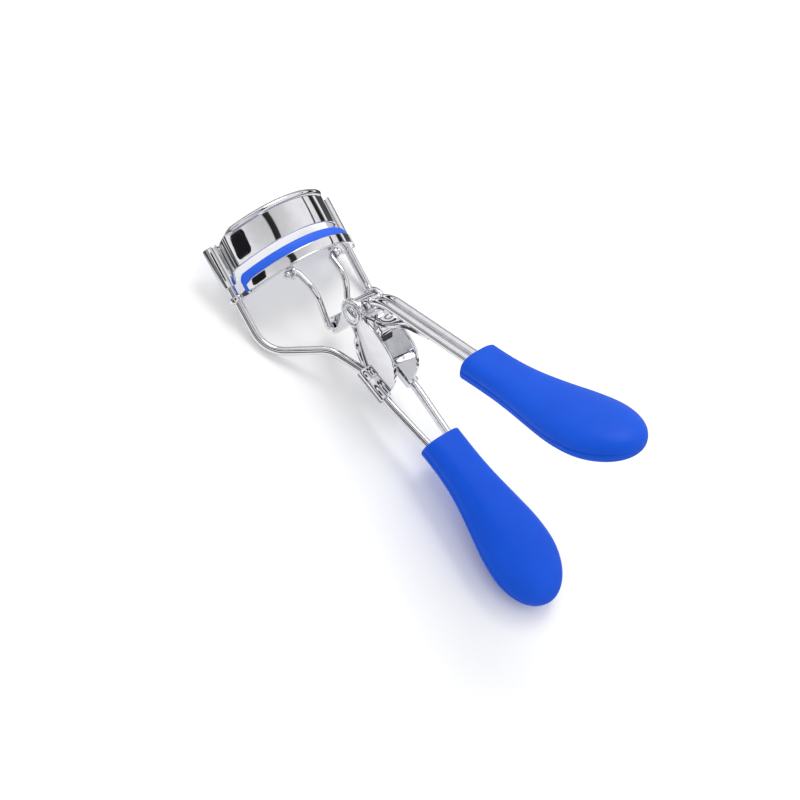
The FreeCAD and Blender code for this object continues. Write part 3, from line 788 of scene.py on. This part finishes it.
@dataclass
class LowerJaw(Assembly):
    """Arched channel that holds the pad, with an eyelet on each guide and two lugs below."""

    gap: float = 1.7  # open space between the pad and the upper jaw
    reach: float = 14.0
    sheet: float = 0.6
    half_width: float = 2.05
    edge: float = 0.2
    lip: float = 0.24
    seat: float = 1.9
    pad_half: float = 1.4
    pad_show: float = 2.05
    pad_reach: float = 14.7
    pad_end: float = 1.1
    pad_crown: float = 0.85
    eyelet_level: float = -1.2
    eyelet_height: float = 1.4
    eyelet_outer: float = 1.9
    slide_play: float = 0.1
    lug_across: float = 6.2
    lug_half: float = 0.4
    lug_edge: float = 0.16
    lug_drop: float = 1.3
    lug_radius: float = 1.55
    pivot_bore: float = 0.85

    @property
    def top(self) -> float:
        """Level of the channel's rim at the guides."""
        return self.kit.jaws.foot - self.gap - self.pad_show

    @property
    def bottom(self) -> float:
        """Level of the channel's floor at the guides."""
        return self.top - self.seat - self.sheet

    def build(self) -> None:
        """Model and dress the jaw and its pad."""
        pieces = self.channel()
        for side in (-1, 1):
            pieces += [self.eyelet(side), self.tab(side), self.lug(side), self.stem(side)]
        jaw = merge("lower_jaw_channel", pieces)
        self.dress(jaw, "lower_jaw", Body.JAW, self.kit.finishes.jaw)
        self.dress(self.pad(), "lash_pad", Body.JAW, self.kit.finishes.pad, Slot.RUBBER)

    def section(self, tall: float) -> list[Point2]:
        """Channel section.

        Args:
            tall: its height.

        Returns:
            Points as (distance outward, height above its underside).
        """
        half, soft, inner, top = self.half_width, self.edge, self.half_width - self.sheet, tall - self.edge
        corners = ((half - soft, soft, 270), (half - soft, top, 0), (inner + soft, top, 90),
                   (-inner - soft, top, 0), (-half + soft, top, 90), (-half + soft, soft, 180))
        arcs = [arc((u, v), soft, start, start + 90, 4) for u, v, start in corners]
        return sum(arcs[:3], []) + [(inner, self.sheet), (-inner, self.sheet)] + sum(arcs[3:], [])

    def channel(self) -> list[Item]:
        """The channel along the arch, its ends cut down towards the eyelets, and its lip."""
        jaws = self.kit.jaws
        limit = jaws.angle_at(self.reach)
        rings, lip = [], []
        for left, across, out, outward in jaws.sweep(limit, 90):
            trim = max(0.0, 1.0 - left * jaws.radius / 1.6)
            foot = Vector((across, jaws.rim(self.bottom, out) + trim * 0.55, out))
            rings.append(drawn_ring(foot, outward, UP, self.section(self.seat + self.sheet - trim)))
        for _, across, out, outward in jaws.sweep(limit * 0.97, 90):
            edge = Vector((across, jaws.rim(self.bottom, out) + 0.22, out))
            lip.append(drawn_ring(edge + outward * (self.half_width - 0.02), outward, UP,
                                  circle(self.lip, 12)))
        return [loft("channel", rings), loft("lip", lip)]

    def eyelet(self, side: int) -> Item:
        """Ring that slides on one guide wire, with rounded rims."""
        profile = ring_profile(self.eyelet_height / 2, WIRE / 2 + self.slide_play, self.eyelet_outer, 0.35)
        centre = Vector((side * self.kit.jaws.guide_x, self.eyelet_level, 0))
        return lathe("eyelet", centre, UP, ACROSS, profile)

    def tab(self, side: int) -> Item:
        """Strip from the end of the channel to its eyelet.

        Args:
            side: -1 for the left one, 1 for the right one.

        Returns:
            The linked object.
        """
        jaws = self.kit.jaws
        first, last = jaws.angle_at(self.reach - 1.2), jaws.angle_at(jaws.guide_x - 0.95)
        rings = []
        for share in (k / 8 for k in range(9)):
            across, out, outward = jaws.station(side * (first + (last - first) * share))
            level = jaws.rim(self.bottom + 1.1, out) * (1 - share) + self.eyelet_level * share
            tall = (1 - share) + self.eyelet_height / 2 * 0.92 * share
            rings.append(drawn_ring(Vector((across, level, out)), outward, UP,
                                    rounded_box(1.7 * (1 - share) + 0.6 * share, tall, 0.25, 3)))
        return loft("tab", rings)

    def pivot(self, side: int) -> Vector:
        """Drawn place of a yoke pivot, or with side 0 of the middle between them."""
        jaws = self.kit.jaws
        out = jaws.station(jaws.angle_at(self.lug_across))[1]
        return Vector((side * self.lug_across, jaws.rim(self.bottom, out) - self.lug_drop, out))

    def lug(self, side: int) -> Item:
        """Round lug with its bore, square to the yoke's pivot."""
        profile = ring_profile(self.lug_half, self.pivot_bore, self.lug_radius, self.lug_edge, 3)
        return lathe("lug", self.pivot(side), ACROSS, UP, profile, 36)

    def stem(self, side: int) -> Item:
        """Short neck from the channel's underside down to the lug."""
        low = self.pivot(side) + UP * (self.pivot_bore + 0.35)
        return loft("stem", [drawn_ring(low + UP * rise, ACROSS, OUT,
                                        rounded_box(self.lug_half, wide, self.lug_edge, 3))
                             for rise, wide in ((0.0, 1.25), (0.35, 1.15), (0.8, 1.3))])

    def pad(self) -> Item:
        """Silicone strip: square foot in the channel, crowned top and rounded ends."""
        jaws = self.kit.jaws
        rings = []
        for left, across, out, outward in jaws.sweep(jaws.angle_at(self.pad_reach), 100):
            ease = 0.30 + 0.70 * math.sin(math.pi / 2 * min(left * jaws.radius / self.pad_end, 1.0))
            half = self.pad_half * (0.55 + 0.45 * ease)
            high = self.seat + self.pad_show - (1 - ease) * self.pad_end
            bend = min(self.pad_crown, half * 0.95)
            section = [(half, 0.0), *arc((half - bend, high - bend), bend, 0, 90, 7),
                       *arc((-half + bend, high - bend), bend, 90, 180, 7), (-half, 0.0)]
            foot = Vector((across, jaws.rim(self.top - self.seat, out) + 0.01, out))
            rings.append(drawn_ring(foot, outward, UP, section))
        return loft("lash_pad_strip", rings, sharp=60)


# --- wires
@dataclass
class FrameWires(Assembly):
    """The two side wires that carry everything."""

    top: float = 10.3
    corner: float = -14.0
    bow: tuple = (2.6, 7.2, -3.4)  # end of the bow, from the front of the crimps
    past_crimp: float = 1.5
    grip_leg: float = 3.0
    bends: tuple = (7.5, 8.0, 3.0, 9.0, 9.0)

    def build(self) -> None:
        """Bend and dress both wires."""
        finish = self.kit.finishes.wire
        for side in Side:
            rod = self.kit.wires.wire(side.name + "_frame_rod", self.route(side.value), WIRE, finish)
            self.dress(rod, side.name + "_frame_wire", Body.FRAME, finish)

    def route(self, side: int) -> list[Vector]:
        """Drawn route of one wire, from its sleeve to inside the lower grip.

        Args:
            side: -1 for the left one, 1 for the right one.

        Returns:
            Points along the route.
        """
        hand = self.kit.handles
        wide, rise, back = self.bow
        guide, leg, grip = (ACROSS * side * x for x in (self.kit.jaws.guide_x, CRIMP_LEG, self.grip_leg))
        corners = [guide + UP * self.top, guide + UP * self.corner,
                   leg + CRIMP + Vector((side * wide, rise, back)), leg + CRIMP,
                   leg + CRIMP + hand.lower * (CRIMP_LENGTH + self.past_crimp),
                   grip + hand.lower_mouth, grip + hand.lower_mouth + hand.lower * INSERT]
        return rounded_route(corners, self.bends, 16)


@dataclass
class Yoke(Assembly):
    """Bent wire that pulls the lower jaw: beaded ends, kneed legs and a crosspiece."""

    jaw: LowerJaw
    diameter: float = 1.5
    bead_share: float = 0.62
    past_lug: float = 0.9
    top_leg: float = 5.0
    knee: tuple = (4.5, -7.8, 10.8)
    foot_leg: float = 2.9
    bends: tuple = (1.0, 6.0, 1.0)

    def build(self) -> None:
        """Bend and dress the yoke with its two beads."""
        finish = self.kit.finishes.wire
        pivot, cross = self.jaw.pivot(0), self.kit.handles.cross
        tip = self.jaw.lug_across + self.jaw.lug_half + self.past_lug
        right = [cross + ACROSS * self.foot_leg, Vector(self.knee),
                 pivot + ACROSS * self.top_leg, pivot + ACROSS * tip]
        left = [Vector((-spot.x, spot.y, spot.z)) for spot in reversed(right)]
        route = rounded_route(left + right, self.bends + self.bends[::-1], 12)
        bead = self.diameter * self.bead_share
        turns = [math.pi * k / 16 for k in range(17)]
        profile = [(bead * math.cos(turn), bead * math.sin(turn)) for turn in turns]
        pieces = [self.kit.wires.wire("yoke_rod", route, self.diameter, finish, 32)]
        pieces += [lathe("bead", pivot + ACROSS * side * tip, ACROSS, UP, profile, 28) for side in (-1, 1)]
        self.dress(merge("yoke_bent_wire", pieces), "yoke_wire", Body.YOKE, finish)


# --- hinge
@dataclass
class Bracket(Assembly):
    """Pressed hinge bracket: two leaf-shaped ears, the bowed web between them and two crimps."""

    ear_inner: float = 3.0
    sheet: float = 0.8
    head: float = 3.35
    dish: float = 0.24
    columns: int = 17
    front: tuple = ((-2.2, -2.6), (-4.0, -2.7), (-6.2, -3.2), (-9.2, -4.3))
    back: tuple = ((-1.9, 2.75), (-3.8, 3.1), (-6.6, 4.0), (-12.6, 4.55), (-17.0, 1.9))
    web_line: tuple = ((-4.4, -2.9), (-5.5, -4.6), (-7.1, -5.6), (-9.9, -6.0), (-12.2, -6.1), (-14.2, -5.4))
    collar_line: tuple = ((-0.15, 3.30), (0.06, 3.24), (0.18, 3.10), (0.22, 2.94), (0.16, 2.78),
                          (-0.15, 2.66))
    crimp_wall: float = 0.65
    crimp_play: float = 0.02
    crimp_seam: float = 12.0

    def build(self) -> None:
        """Model and dress the bracket."""
        pieces = [self.web()]
        for side in (-1, 1):
            pieces += [self.ear(side), self.collar(side), self.crimp(side)]
        bracket = merge("hinge_bracket_pressing", pieces)
        self.dress(bracket, "hinge_bracket", Body.FRAME, self.kit.finishes.chrome)

    def edge(self, line: Sequence[Point2], along: float) -> list[Point2]:
        """Edge of an ear below its head, as (up, out) from the rivet.

        Args:
            line: points that it passes.
            along: where it ends on the crimp.

        Returns:
            Points along the edge.
        """
        foot = CRIMP + self.kit.handles.lower * along - RIVET
        return curve_through([*line, (foot.y, foot.z)], 34)[1:]

    def ear(self, side: int) -> Item:
        """One leaf, from the round of its head down to the crimp, slightly dished.

        Args:
            side: -1 for the left one, 1 for the right one.

        Returns:
            The linked object.
        """
        middle = side * (self.ear_inner + self.sheet / 2)
        across = fan(self.columns)
        rows = []
        for degrees in [88 - 6.4 * k for k in range(13)] + [11.2 - 7.6 * k for k in range(1, 8)]:
            rise, half = (self.head * f(math.radians(degrees)) for f in (math.sin, math.cos))
            rows.append([RIVET + Vector((middle, rise, half * share)) for share in across])
        edges = zip(self.edge(self.front, 0.6), self.edge(self.back, CRIMP_LENGTH - 0.5))
        for k, (near, far) in enumerate(edges, start=1):
            bulge = side * math.sin(math.pi * k / 33) * self.dish
            first, last = Vector((middle, *near)), Vector((middle, *far))
            rows.append([RIVET + first.lerp(last, (share + 1) / 2) + ACROSS * (bulge * (1 - share ** 2))
                         for share in across])
        return sheet_leaf("ear", rows, self.sheet)

    def collar(self, side: int) -> Item:
        """Raised ring that is pressed into the ear round the rivet."""
        centre = RIVET + ACROSS * (side * (self.ear_inner + self.sheet))
        return lathe("collar", centre, ACROSS * side, UP, self.collar_line, 56)

    def web(self) -> Item:
        """Bowed plate that joins the front edges of the ears, with a lobe between the wires."""
        half = self.ear_inner + self.sheet * 0.9
        rows = []
        for k, (rise, out) in enumerate(curve_through(self.web_line, 22)):
            dip = 0.55 * math.sin(math.pi * min(1.0, k / 21 * 1.3))
            cut = 1.1 * (1 - k / 21) ** 3
            rows.append([RIVET + Vector((share * half, rise - cut * (1 - share ** 2),
                                         out + dip * share ** 2)) for share in fan(self.columns)])
        return sheet_leaf("web", rows, self.sheet * 0.8)

    def crimp(self, side: int) -> Item:
        """Sleeve folded round one frame wire, its seam open on the outer side.

        Args:
            side: -1 for the left one, 1 for the right one.

        Returns:
            The linked object.
        """
        along = self.kit.handles.lower
        under = Vector((0, -along.z, along.y))
        inner = WIRE / 2 + self.crimp_play
        outer, seam = inner + self.crimp_wall, self.crimp_seam
        skin = arc((0, 0), outer, seam, 360 - seam, 40)
        bore = arc((0, 0), inner, 360 - seam * 1.6, seam * 1.6, 32)
        stations = [(0.0, 0.22), (0.10, 0.07), (0.25, 0.0), (2.7, 0.0), (2.85, 0.10), (3.05, 0.10),
                    (3.2, 0.0)]
        stations += [(CRIMP_LENGTH - run, shrink)
                     for run, shrink in ((0.25, 0.0), (0.10, 0.07), (0.0, 0.22))]
        rings = []
        for run, shrink in stations:
            pull = 1 - shrink / outer
            section = [(u * pull, v * pull) for u, v in skin] + bore
            rings.append(drawn_ring(CRIMP + ACROSS * (side * CRIMP_LEG) + along * run, ACROSS * side, under,
                                    section))
        return loft("crimp", rings)


@dataclass
class Rivet(Assembly):
    """Hinge rivet with a domed button on a flange at each end."""

    shank: float = 1.3
    head: float = 2.3
    button: float = 1.7
    seat: float = 3.8
    brim: float = 0.3
    dome: float = 1.1

    def build(self) -> None:
        """Turn and dress the rivet."""
        rim = self.seat + self.brim
        turns = [math.pi / 2 * k / 12 for k in range(13)]
        half = [(rim + 0.1 + (self.dome - self.brim) * math.cos(turn), self.button * math.sin(turn))
                for turn in turns]
        half += [(rim, self.button + 0.12), (rim + 0.05, self.head - 0.22), (rim - 0.02, self.head - 0.05),
                 (rim - self.brim / 2, self.head), (self.seat + 0.02, self.head * 0.97),
                 (self.seat + 0.02, self.shank)]
        profile = half + [(-run, radius) for run, radius in reversed(half)]
        rod = lathe("pivot_rivet_domed", RIVET, ACROSS, UP, profile, 56)
        self.dress(rod, "pivot_rivet", Body.FRAME, self.kit.finishes.chrome)


@dataclass
class Lever(Assembly):
    """Pressed lever: barrel on the rivet, folded arm with an open knuckle, gusset and two wires."""

    barrel: float = 2.7
    barrel_half: float = 2.85
    bore: float = 1.35
    arm_half: float = 1.7
    arm_depth: float = 1.8
    arm_wall: float = 0.65
    arm_floor: float = 0.8
    arm_edge: float = 0.2
    knuckle_in: float = 1.25
    knuckle_out: float = 1.95
    knuckle_edge: float = 0.14
    knuckle_open: float = 41.0
    wire_leg: float = 1.15
    wire_bend: float = 8.4
    gusset_half: float = 2.3
    gusset_sheet: float = 0.75
    gusset_top: tuple = ((-1.9, 1.2), (-3.6, 3.3), (-5.8, 6.0))  # (up, out) from the rivet
    gusset_foot: tuple = ((7.4, 1.75), (10.5, 1.15), (13.9, 0.95))  # (down the wires, below them)
    saddle_line: tuple = ((1.6, 1.7, 2.3), (2.6, 1.45, 2.3), (3.4, 1.2, 2.25), (4.6, 1.0, 2.15),
                          (5.0, 0.85, 2.0))  # (out from the rivet, half depth, half width)
    tongue_half: float = 1.55
    tongue_sheet: float = 0.7
    tongue_line: tuple = ((-2.4, 2.4), (-4.4, 3.2), (-6.4, 3.0), (-8.2, 1.6))

    def build(self) -> None:
        """Model and dress the lever and its two wires."""
        barrel = lathe("barrel", RIVET, ACROSS, UP,
                       ring_profile(self.barrel_half, self.bore, self.barrel, 0.3), 56)
        pieces = [barrel, self.arm(), self.knuckle(), self.gusset(), self.saddle(), self.tongue()]
        lever = merge("lever_pressing", pieces)
        self.dress(lever, "lever_channel", Body.LEVER, self.kit.finishes.chrome)
        finish = self.kit.finishes.wire
        for side in Side:
            rod = self.kit.wires.wire(side.name + "_handle_rod", self.route(side.value), WIRE, finish)
            self.dress(rod, side.name + "_handle_wire", Body.LEVER, finish)

    def route(self, side: int) -> list[Vector]:
        """Drawn route of one handle wire."""
        hand = self.kit.handles
        corners = (RIVET + Vector((0, 0.3, self.barrel + 0.35)), hand.bend,
                   hand.upper_mouth + hand.upper * INSERT)
        return rounded_route([spot + ACROSS * (side * self.wire_leg) for spot in corners],
                             [self.wire_bend], 24)

    def arm(self) -> Item:
        """Folded channel from the barrel to the knuckle, open on its upper side."""
        half, soft, wall = self.arm_half, self.arm_edge, self.arm_half - self.arm_wall
        start, end = -2.2, -(self.kit.handles.crank - self.knuckle_in - 0.35)
        rings = []
        for share in (k / 12 for k in range(13)):
            deep = self.arm_depth * (1.0 - 0.10 * math.sin(math.pi * share))
            floor = self.arm_floor - deep
            section = [*arc((half - soft, deep - soft), soft, 0, 90, 3), (wall, deep), (wall, floor),
                       (-wall, floor), (-wall, deep)]
            for u, v, turn in ((soft - half, deep - soft, 90), (soft - half, soft - deep, 180),
                               (half - soft, soft - deep, 270)):
                section += arc((u, v), soft, turn, turn + 90, 3)
            rings.append(drawn_ring(RIVET + OUT * (start + (end - start) * share), ACROSS, UP, section))
        return loft("arm", rings)

    def knuckle(self) -> Item:
        """Hook round the yoke's crosspiece, open on the side away from the rivet."""
        turn = 180 - self.knuckle_open
        half, soft = self.arm_half, self.knuckle_edge
        rings = []
        for across, cut in ((-half, soft), (soft - half, 0.0), (half - soft, 0.0), (half, soft)):
            section = (arc((0, 0), self.knuckle_out - cut, -turn, turn, 30)
                       + arc((0, 0), self.knuckle_in + cut, turn, -turn, 30))
            rings.append(drawn_ring(self.kit.handles.cross + ACROSS * across, OUT, UP, section))
        return loft("knuckle", rings)

    def gusset(self) -> Item:
        """Curved strip that braces the wires from below, open between itself and them."""
        hand = self.kit.handles
        under = Vector((0, -hand.upper.z, hand.upper.y))
        spots = [RIVET + Vector((0, *spot)) for spot in self.gusset_top]
        spots += [hand.bend + hand.upper * along + under * below for along, below in self.gusset_foot]
        rows = []
        for k, (rise, out) in enumerate(curve_through([(spot.y, spot.z) for spot in spots], 40)):
            half = self.gusset_half * (0.92 - 0.12 * k / 39)
            sag = 0.35 * math.sin(math.pi * k / 39)
            rows.append([Vector((half * share, rise - sag * (1 - share ** 2), out - sag * (1 - share ** 2)))
                         for share in fan(11)])
        return sheet_leaf("gusset", rows, self.gusset_sheet)

    def saddle(self) -> Item:
        """Fold that carries the two wires on the barrel."""
        return loft("saddle", [drawn_ring(RIVET + Vector((0, 0.1, out)), ACROSS, UP,
                                          rounded_box(half, deep, 0.6, 5))
                               for out, deep, half in self.saddle_line])

    def tongue(self) -> Item:
        """Small curled lip behind the barrel, between the ears."""
        rows = [[RIVET + Vector((self.tongue_half * share, rise, out)) for share in fan(9)]
                for rise, out in curve_through(self.tongue_line, 16)]
        return sheet_leaf("tongue", rows, self.tongue_sheet)


# --- grips
@dataclass
class Grip(Assembly):
    """Moulded paddle grip with a parting line round its edge."""

    node: str
    body: Body
    start: Vector  # drawn middle of its mouth
    along: Vector  # drawn direction that it leaves the mouth in
    outward: Vector  # drawn direction away from the other grip
    length: float  # along its curved middle line
    curve: float = 14.5
    paddle_place: float = 0.72
    mouth: tuple = (5.15, 3.0)
    paddle: tuple = (8.85, 4.0)
    late_swell: float = 1.65
    seam_depth: float = 0.17
    seam_half: float = 0.15

    def build(self) -> None:
        """Model and dress the grip, with a soft rim at its mouth and a rounded tip."""
        places = [(0.0, 0.9), (0.0, 0.45), (0.003, 0.18), (0.010, 0.0)]
        places += [(0.02 + 0.70 * k / 40, 0.0) for k in range(41)]
        tip = 1 - self.paddle_place
        places += [(self.paddle_place + tip * math.sin(math.pi / 2 * k / 24) * 0.9999, 0.0)
                   for k in range(1, 25)]
        shell = loft(self.node + "_moulding", [self.ring(*place) for place in places], sharp=60)
        self.dress(shell, self.node, self.body, self.kit.finishes.grip, Slot.PLASTIC)

    def widths(self, share: float) -> Point2:
        """Half width and half depth at a share of the length.

        Args:
            share: 0 at the mouth, 1 at the tip.

        Returns:
            The two halves.
        """
        (mouth_w, mouth_d), (wide, deep) = self.mouth, self.paddle
        if share <= self.paddle_place:
            swell = ((1 - math.cos(math.pi * share / self.paddle_place)) / 2) ** self.late_swell
            return mouth_w + swell * (wide - mouth_w), mouth_d + swell * (deep - mouth_d)
        reach = (share - self.paddle_place) / (1 - self.paddle_place)
        fall = math.sqrt(max(0.0, 1 - reach ** 2))
        return wide * fall, deep * fall ** 0.8

    def ring(self, share: float, inset: float) -> Ring:
        """Cross-section: a full oval with the groove of the parting line.

        Args:
            share: 0 at the mouth, 1 at the tip.
            inset: how far it is drawn in; a drawn-in ring has no groove.

        Returns:
            Points round it.
        """
        radius = self.length / math.radians(self.curve)
        angle = share * self.length / radius
        centre = (self.start + self.along * (radius * math.sin(angle))
                  + self.outward * (radius * (1 - math.cos(angle))))
        upright = self.outward * math.cos(angle) - self.along * math.sin(angle)
        wide, deep = (max(half - inset, 0.02) for half in self.widths(share))
        power = 2.9 - 0.7 * min(share / 0.5, 1.0)
        near = [math.asin(min(0.9, v / deep) ** (power / 2)) for v in (self.seam_half / 2, self.seam_half)]
        rising = [0.0, *near, *(math.pi / 2 * k / 22 for k in range(3, 22))]
        falling = [math.pi - turn for turn in (math.pi / 2, *reversed(rising[1:]))]
        section = []
        for turn in rising + falling + [math.pi + turn for turn in rising + falling]:
            c, s = math.cos(turn), math.sin(turn)
            u, v = (half * math.copysign(abs(part) ** (2 / power), part)
                    for half, part in ((wide, c), (deep, s)))
            groove = self.seam_depth * max(0.0, 1 - abs(v) / self.seam_half) if inset == 0 else 0.0
            section.append((u - math.copysign(groove, c), v))
        return drawn_ring(centre, ACROSS, upright, section)


# --- stage
@dataclass(frozen=True)
class Viewpoint:
    """Camera placed by the direction that it looks from."""

    azimuth: float = -70.83
    elevation: float = 51.64
    roll: float = 36.37
    distance: float = 0.304
    lens: float = 61.27
    target: tuple = (0.00472, 0.00317, -0.0003)

    def camera(self) -> Item:
        """Make the camera and use it."""
        a, e, turn = (math.radians(angle) for angle in (self.azimuth, self.elevation, self.roll))
        back = Vector((math.sin(a) * math.cos(e), -math.cos(a) * math.cos(e), math.sin(e)))
        level = Vector((math.cos(a), math.sin(a), 0))
        right = level * math.cos(turn) + back.cross(level) * math.sin(turn)
        data = bpy.data.cameras.new("camera")
        data.lens = self.lens
        data.clip_start, data.clip_end = 0.01, 20
        item = linked("camera", data)
        item.matrix_world = Matrix.Translation(Vector(self.target) + back * self.distance) @ Matrix(
            (right, back.cross(right), back)).transposed().to_4x4()
        bpy.context.scene.camera = item
        return item


@dataclass(frozen=True)
class Card:
    """Dark card whose mirror image falls on a drawn place of a polished face."""

    spot: tuple = (-12.7, 8.4, 5.9)
    normal: tuple = (-0.64, 0, 0.77)  # drawn direction that the face looks in
    wide: float = 0.100
    tall: float = 0.085
    away: float = 0.24
    tone: tuple = (0.012, 0.012, 0.014, 1)

    def build(self, eye: Vector) -> None:
        """Set the card up, seen by polished faces only.

        Args:
            eye: place of the camera.
        """
        spot = Vector(self.spot)
        place = DRAWING.place(spot)
        facing = (DRAWING.place(spot + Vector(self.normal)) - place).normalized()
        bounce = (place - eye).normalized().reflect(facing)
        side = DRAWING.up.reflect(facing).cross(bounce).normalized()
        rise = bounce.cross(side).normalized()
        outline = rounded_box(self.wide / 2, self.tall / 2, min(self.wide, self.tall) * 0.22)
        mesh = bpy.data.meshes.new("card")
        mesh.from_pydata([tuple(place + bounce * self.away + side * u + rise * v) for u, v in outline], [],
                         [tuple(range(len(outline)))])
        shader = Shader("card_black")
        for name, value in (("Base Color", self.tone), ("Roughness", 1.0), ("Specular IOR Level", 0.0)):
            shader.feed(name, value)
        mesh.materials.append(shader.material)
        card = linked("card", mesh)
        card.visible_camera = card.visible_diffuse = card.visible_shadow = False


@dataclass(frozen=True)
class Studio:
    """Pale floor, soft plain light and the dark surroundings that polished metal shows."""

    lamp_place: tuple = (0.30, 0.34, 0.72)
    lamp_size: float = 0.40
    lamp_power: float = 2.2
    sky: tuple = ((0.00, 0.35), (0.03, 0.02), (0.17, 0.02), (0.19, 0.85), (0.35, 1.00), (0.37, 0.04),
                  (0.40, 0.04), (0.42, 0.98), (0.66, 1.00), (0.80, 0.90), (0.90, 0.74), (1.00, 0.66))
    halo: tuple = ((0.0, 1.0), (0.720, 1.0), (0.735, 0.05), (0.820, 0.03), (0.835, 1.0))
    flank: tuple = (0.80, 1.16)  # light from the left and from the right
    floor_half: float = 3.0
    floor_level: float = -0.00002
    floor_tone: tuple = (0.95, 0.95, 0.95)
    # painted reflection: (distance, grey, blue) stops of dark and pale rings that only glossy rays see
    painted_reflection_rings: tuple = ((0.00, 0.95, 0.95), (0.052, 0.92, 0.93), (0.062, 0.03, 0.035),
                          (0.135, 0.02, 0.025), (0.15, 0.85, 0.86), (0.45, 0.70, 0.71),
                          (0.60, 0.04, 0.045))

    def build(self) -> None:
        """Set up the camera, the world, the floor, the lamp and the card."""
        bpy.context.scene.view_settings.view_transform = "Standard"
        eye = Viewpoint().camera().matrix_world.translation.copy()
        self.world(eye)
        self.floor()
        self.lamp()
        Card().build(eye)

    def world(self, eye: Vector) -> None:
        """Plain bright surroundings, white to the camera and banded in polished metal.

        Args:
            eye: place of the camera.
        """
        world = bpy.data.worlds.new("surroundings")
        world.use_nodes = True
        nodes = Nodes(world.node_tree)
        where = nodes.add("ShaderNodeTexCoord", {}, {}, "Generated")
        height, across = (nodes.add("ShaderNodeSeparateXYZ", {}, {"Vector": where}, axis) for axis in "ZX")
        nearness = nodes.add("ShaderNodeVectorMath", {"operation": "DOT_PRODUCT"},
                             {0: where, 1: tuple(eye.normalized())}, "Value")
        bands, halo = (
            nodes.add("ShaderNodeValToRGB", {"stops": [(at, grey, grey * blue) for at, grey in stops]},
                      {"Fac": value}, "Color")
            for value, stops, blue in ((height, self.sky, 1.01), (nearness, self.halo, 1.0)))
        mirrored = nodes.mix(1.0, bands, halo, "MULTIPLY")
        left, right = self.flank
        light = nodes.add("ShaderNodeMapRange", {},
                          {"Value": across, "From Min": -1.0, "To Min": left, "To Max": right})
        glossy, camera = (nodes.add("ShaderNodeLightPath", {}, {}, f"Is {kind} Ray")
                          for kind in ("Glossy", "Camera"))
        shown = nodes.mix(camera, nodes.mix(glossy, light, mirrored), (1, 1, 1))
        ground = next(node for node in nodes.tree.nodes if node.type == "BACKGROUND")
        nodes.give(ground.inputs["Color"], shown)
        bpy.context.scene.world = world

    def lamp(self) -> None:
        """Soft square lamp that faces the object."""
        data = bpy.data.lights.new("key", "AREA")
        data.size, data.energy = self.lamp_size, self.lamp_power
        item = linked("key", data)
        item.location = self.lamp_place
        item.rotation_mode = "QUATERNION"
        item.rotation_quaternion = Vector(self.lamp_place).to_track_quat("Z", "Y")

    def floor(self) -> None:
        """Wide pale floor; to glossy rays only, its colour is painted in dark and pale rings, a painted
        reflection, so polished metal sees it dark beyond a near ring.
        """
        mesh = bpy.data.meshes.new("floor")
        half = self.floor_half
        mesh.from_pydata([(x, y, self.floor_level) for x, y in
                          ((-half, -half), (half, -half), (half, half), (-half, half))], [], [(0, 1, 2, 3)])
        floor = linked("floor", mesh)
        shader = Shader("floor_white")
        far = shader.add("ShaderNodeVectorMath", {"operation": "LENGTH"}, {0: shader.where}, "Value")
        glossy = shader.add("ShaderNodeLightPath", {}, {}, "Is Glossy Ray")
        # painted reflection: dark and pale rings by distance from the floor's middle, shown to glossy rays
        # only
        rings = shader.add("ShaderNodeValToRGB", {"stops": self.painted_reflection_rings}, {"Fac": far}, "Color")
        shader.feed("Base Color", shader.mix(glossy, self.floor_tone, rings))
        shader.feed("Roughness", 0.9)
        mesh.materials.append(shader.material)


def main() -> None:
    """Build the stage and every sub-assembly."""
    logging.basicConfig(level=logging.INFO, format="%(message)s")
    Studio().build()
    hand = HandleLayout()
    kit = Kit(Finishes(), WireTree(), JawLayout(), hand)
    lower_jaw = LowerJaw(kit)
    below, above = Vector((0, -hand.lower.z, hand.lower.y)), Vector((0, hand.upper.z, -hand.upper.y))
    assemblies = [
        FrameWires(kit), UpperJaw(kit), lower_jaw, Yoke(kit, lower_jaw), Bracket(kit), Rivet(kit),
        Lever(kit),
        Grip(kit, "lower_grip", Body.FRAME, hand.lower_mouth, hand.lower, below, 41.6),
        Grip(kit, "upper_grip", Body.LEVER, hand.upper_mouth + hand.upper * 0.7, hand.upper, above, 40.6),
    ]
    for assembly in assemblies:
        log.info("building %s", type(assembly).__name__)
        assembly.build()


if __name__ == "__main__":
    main()
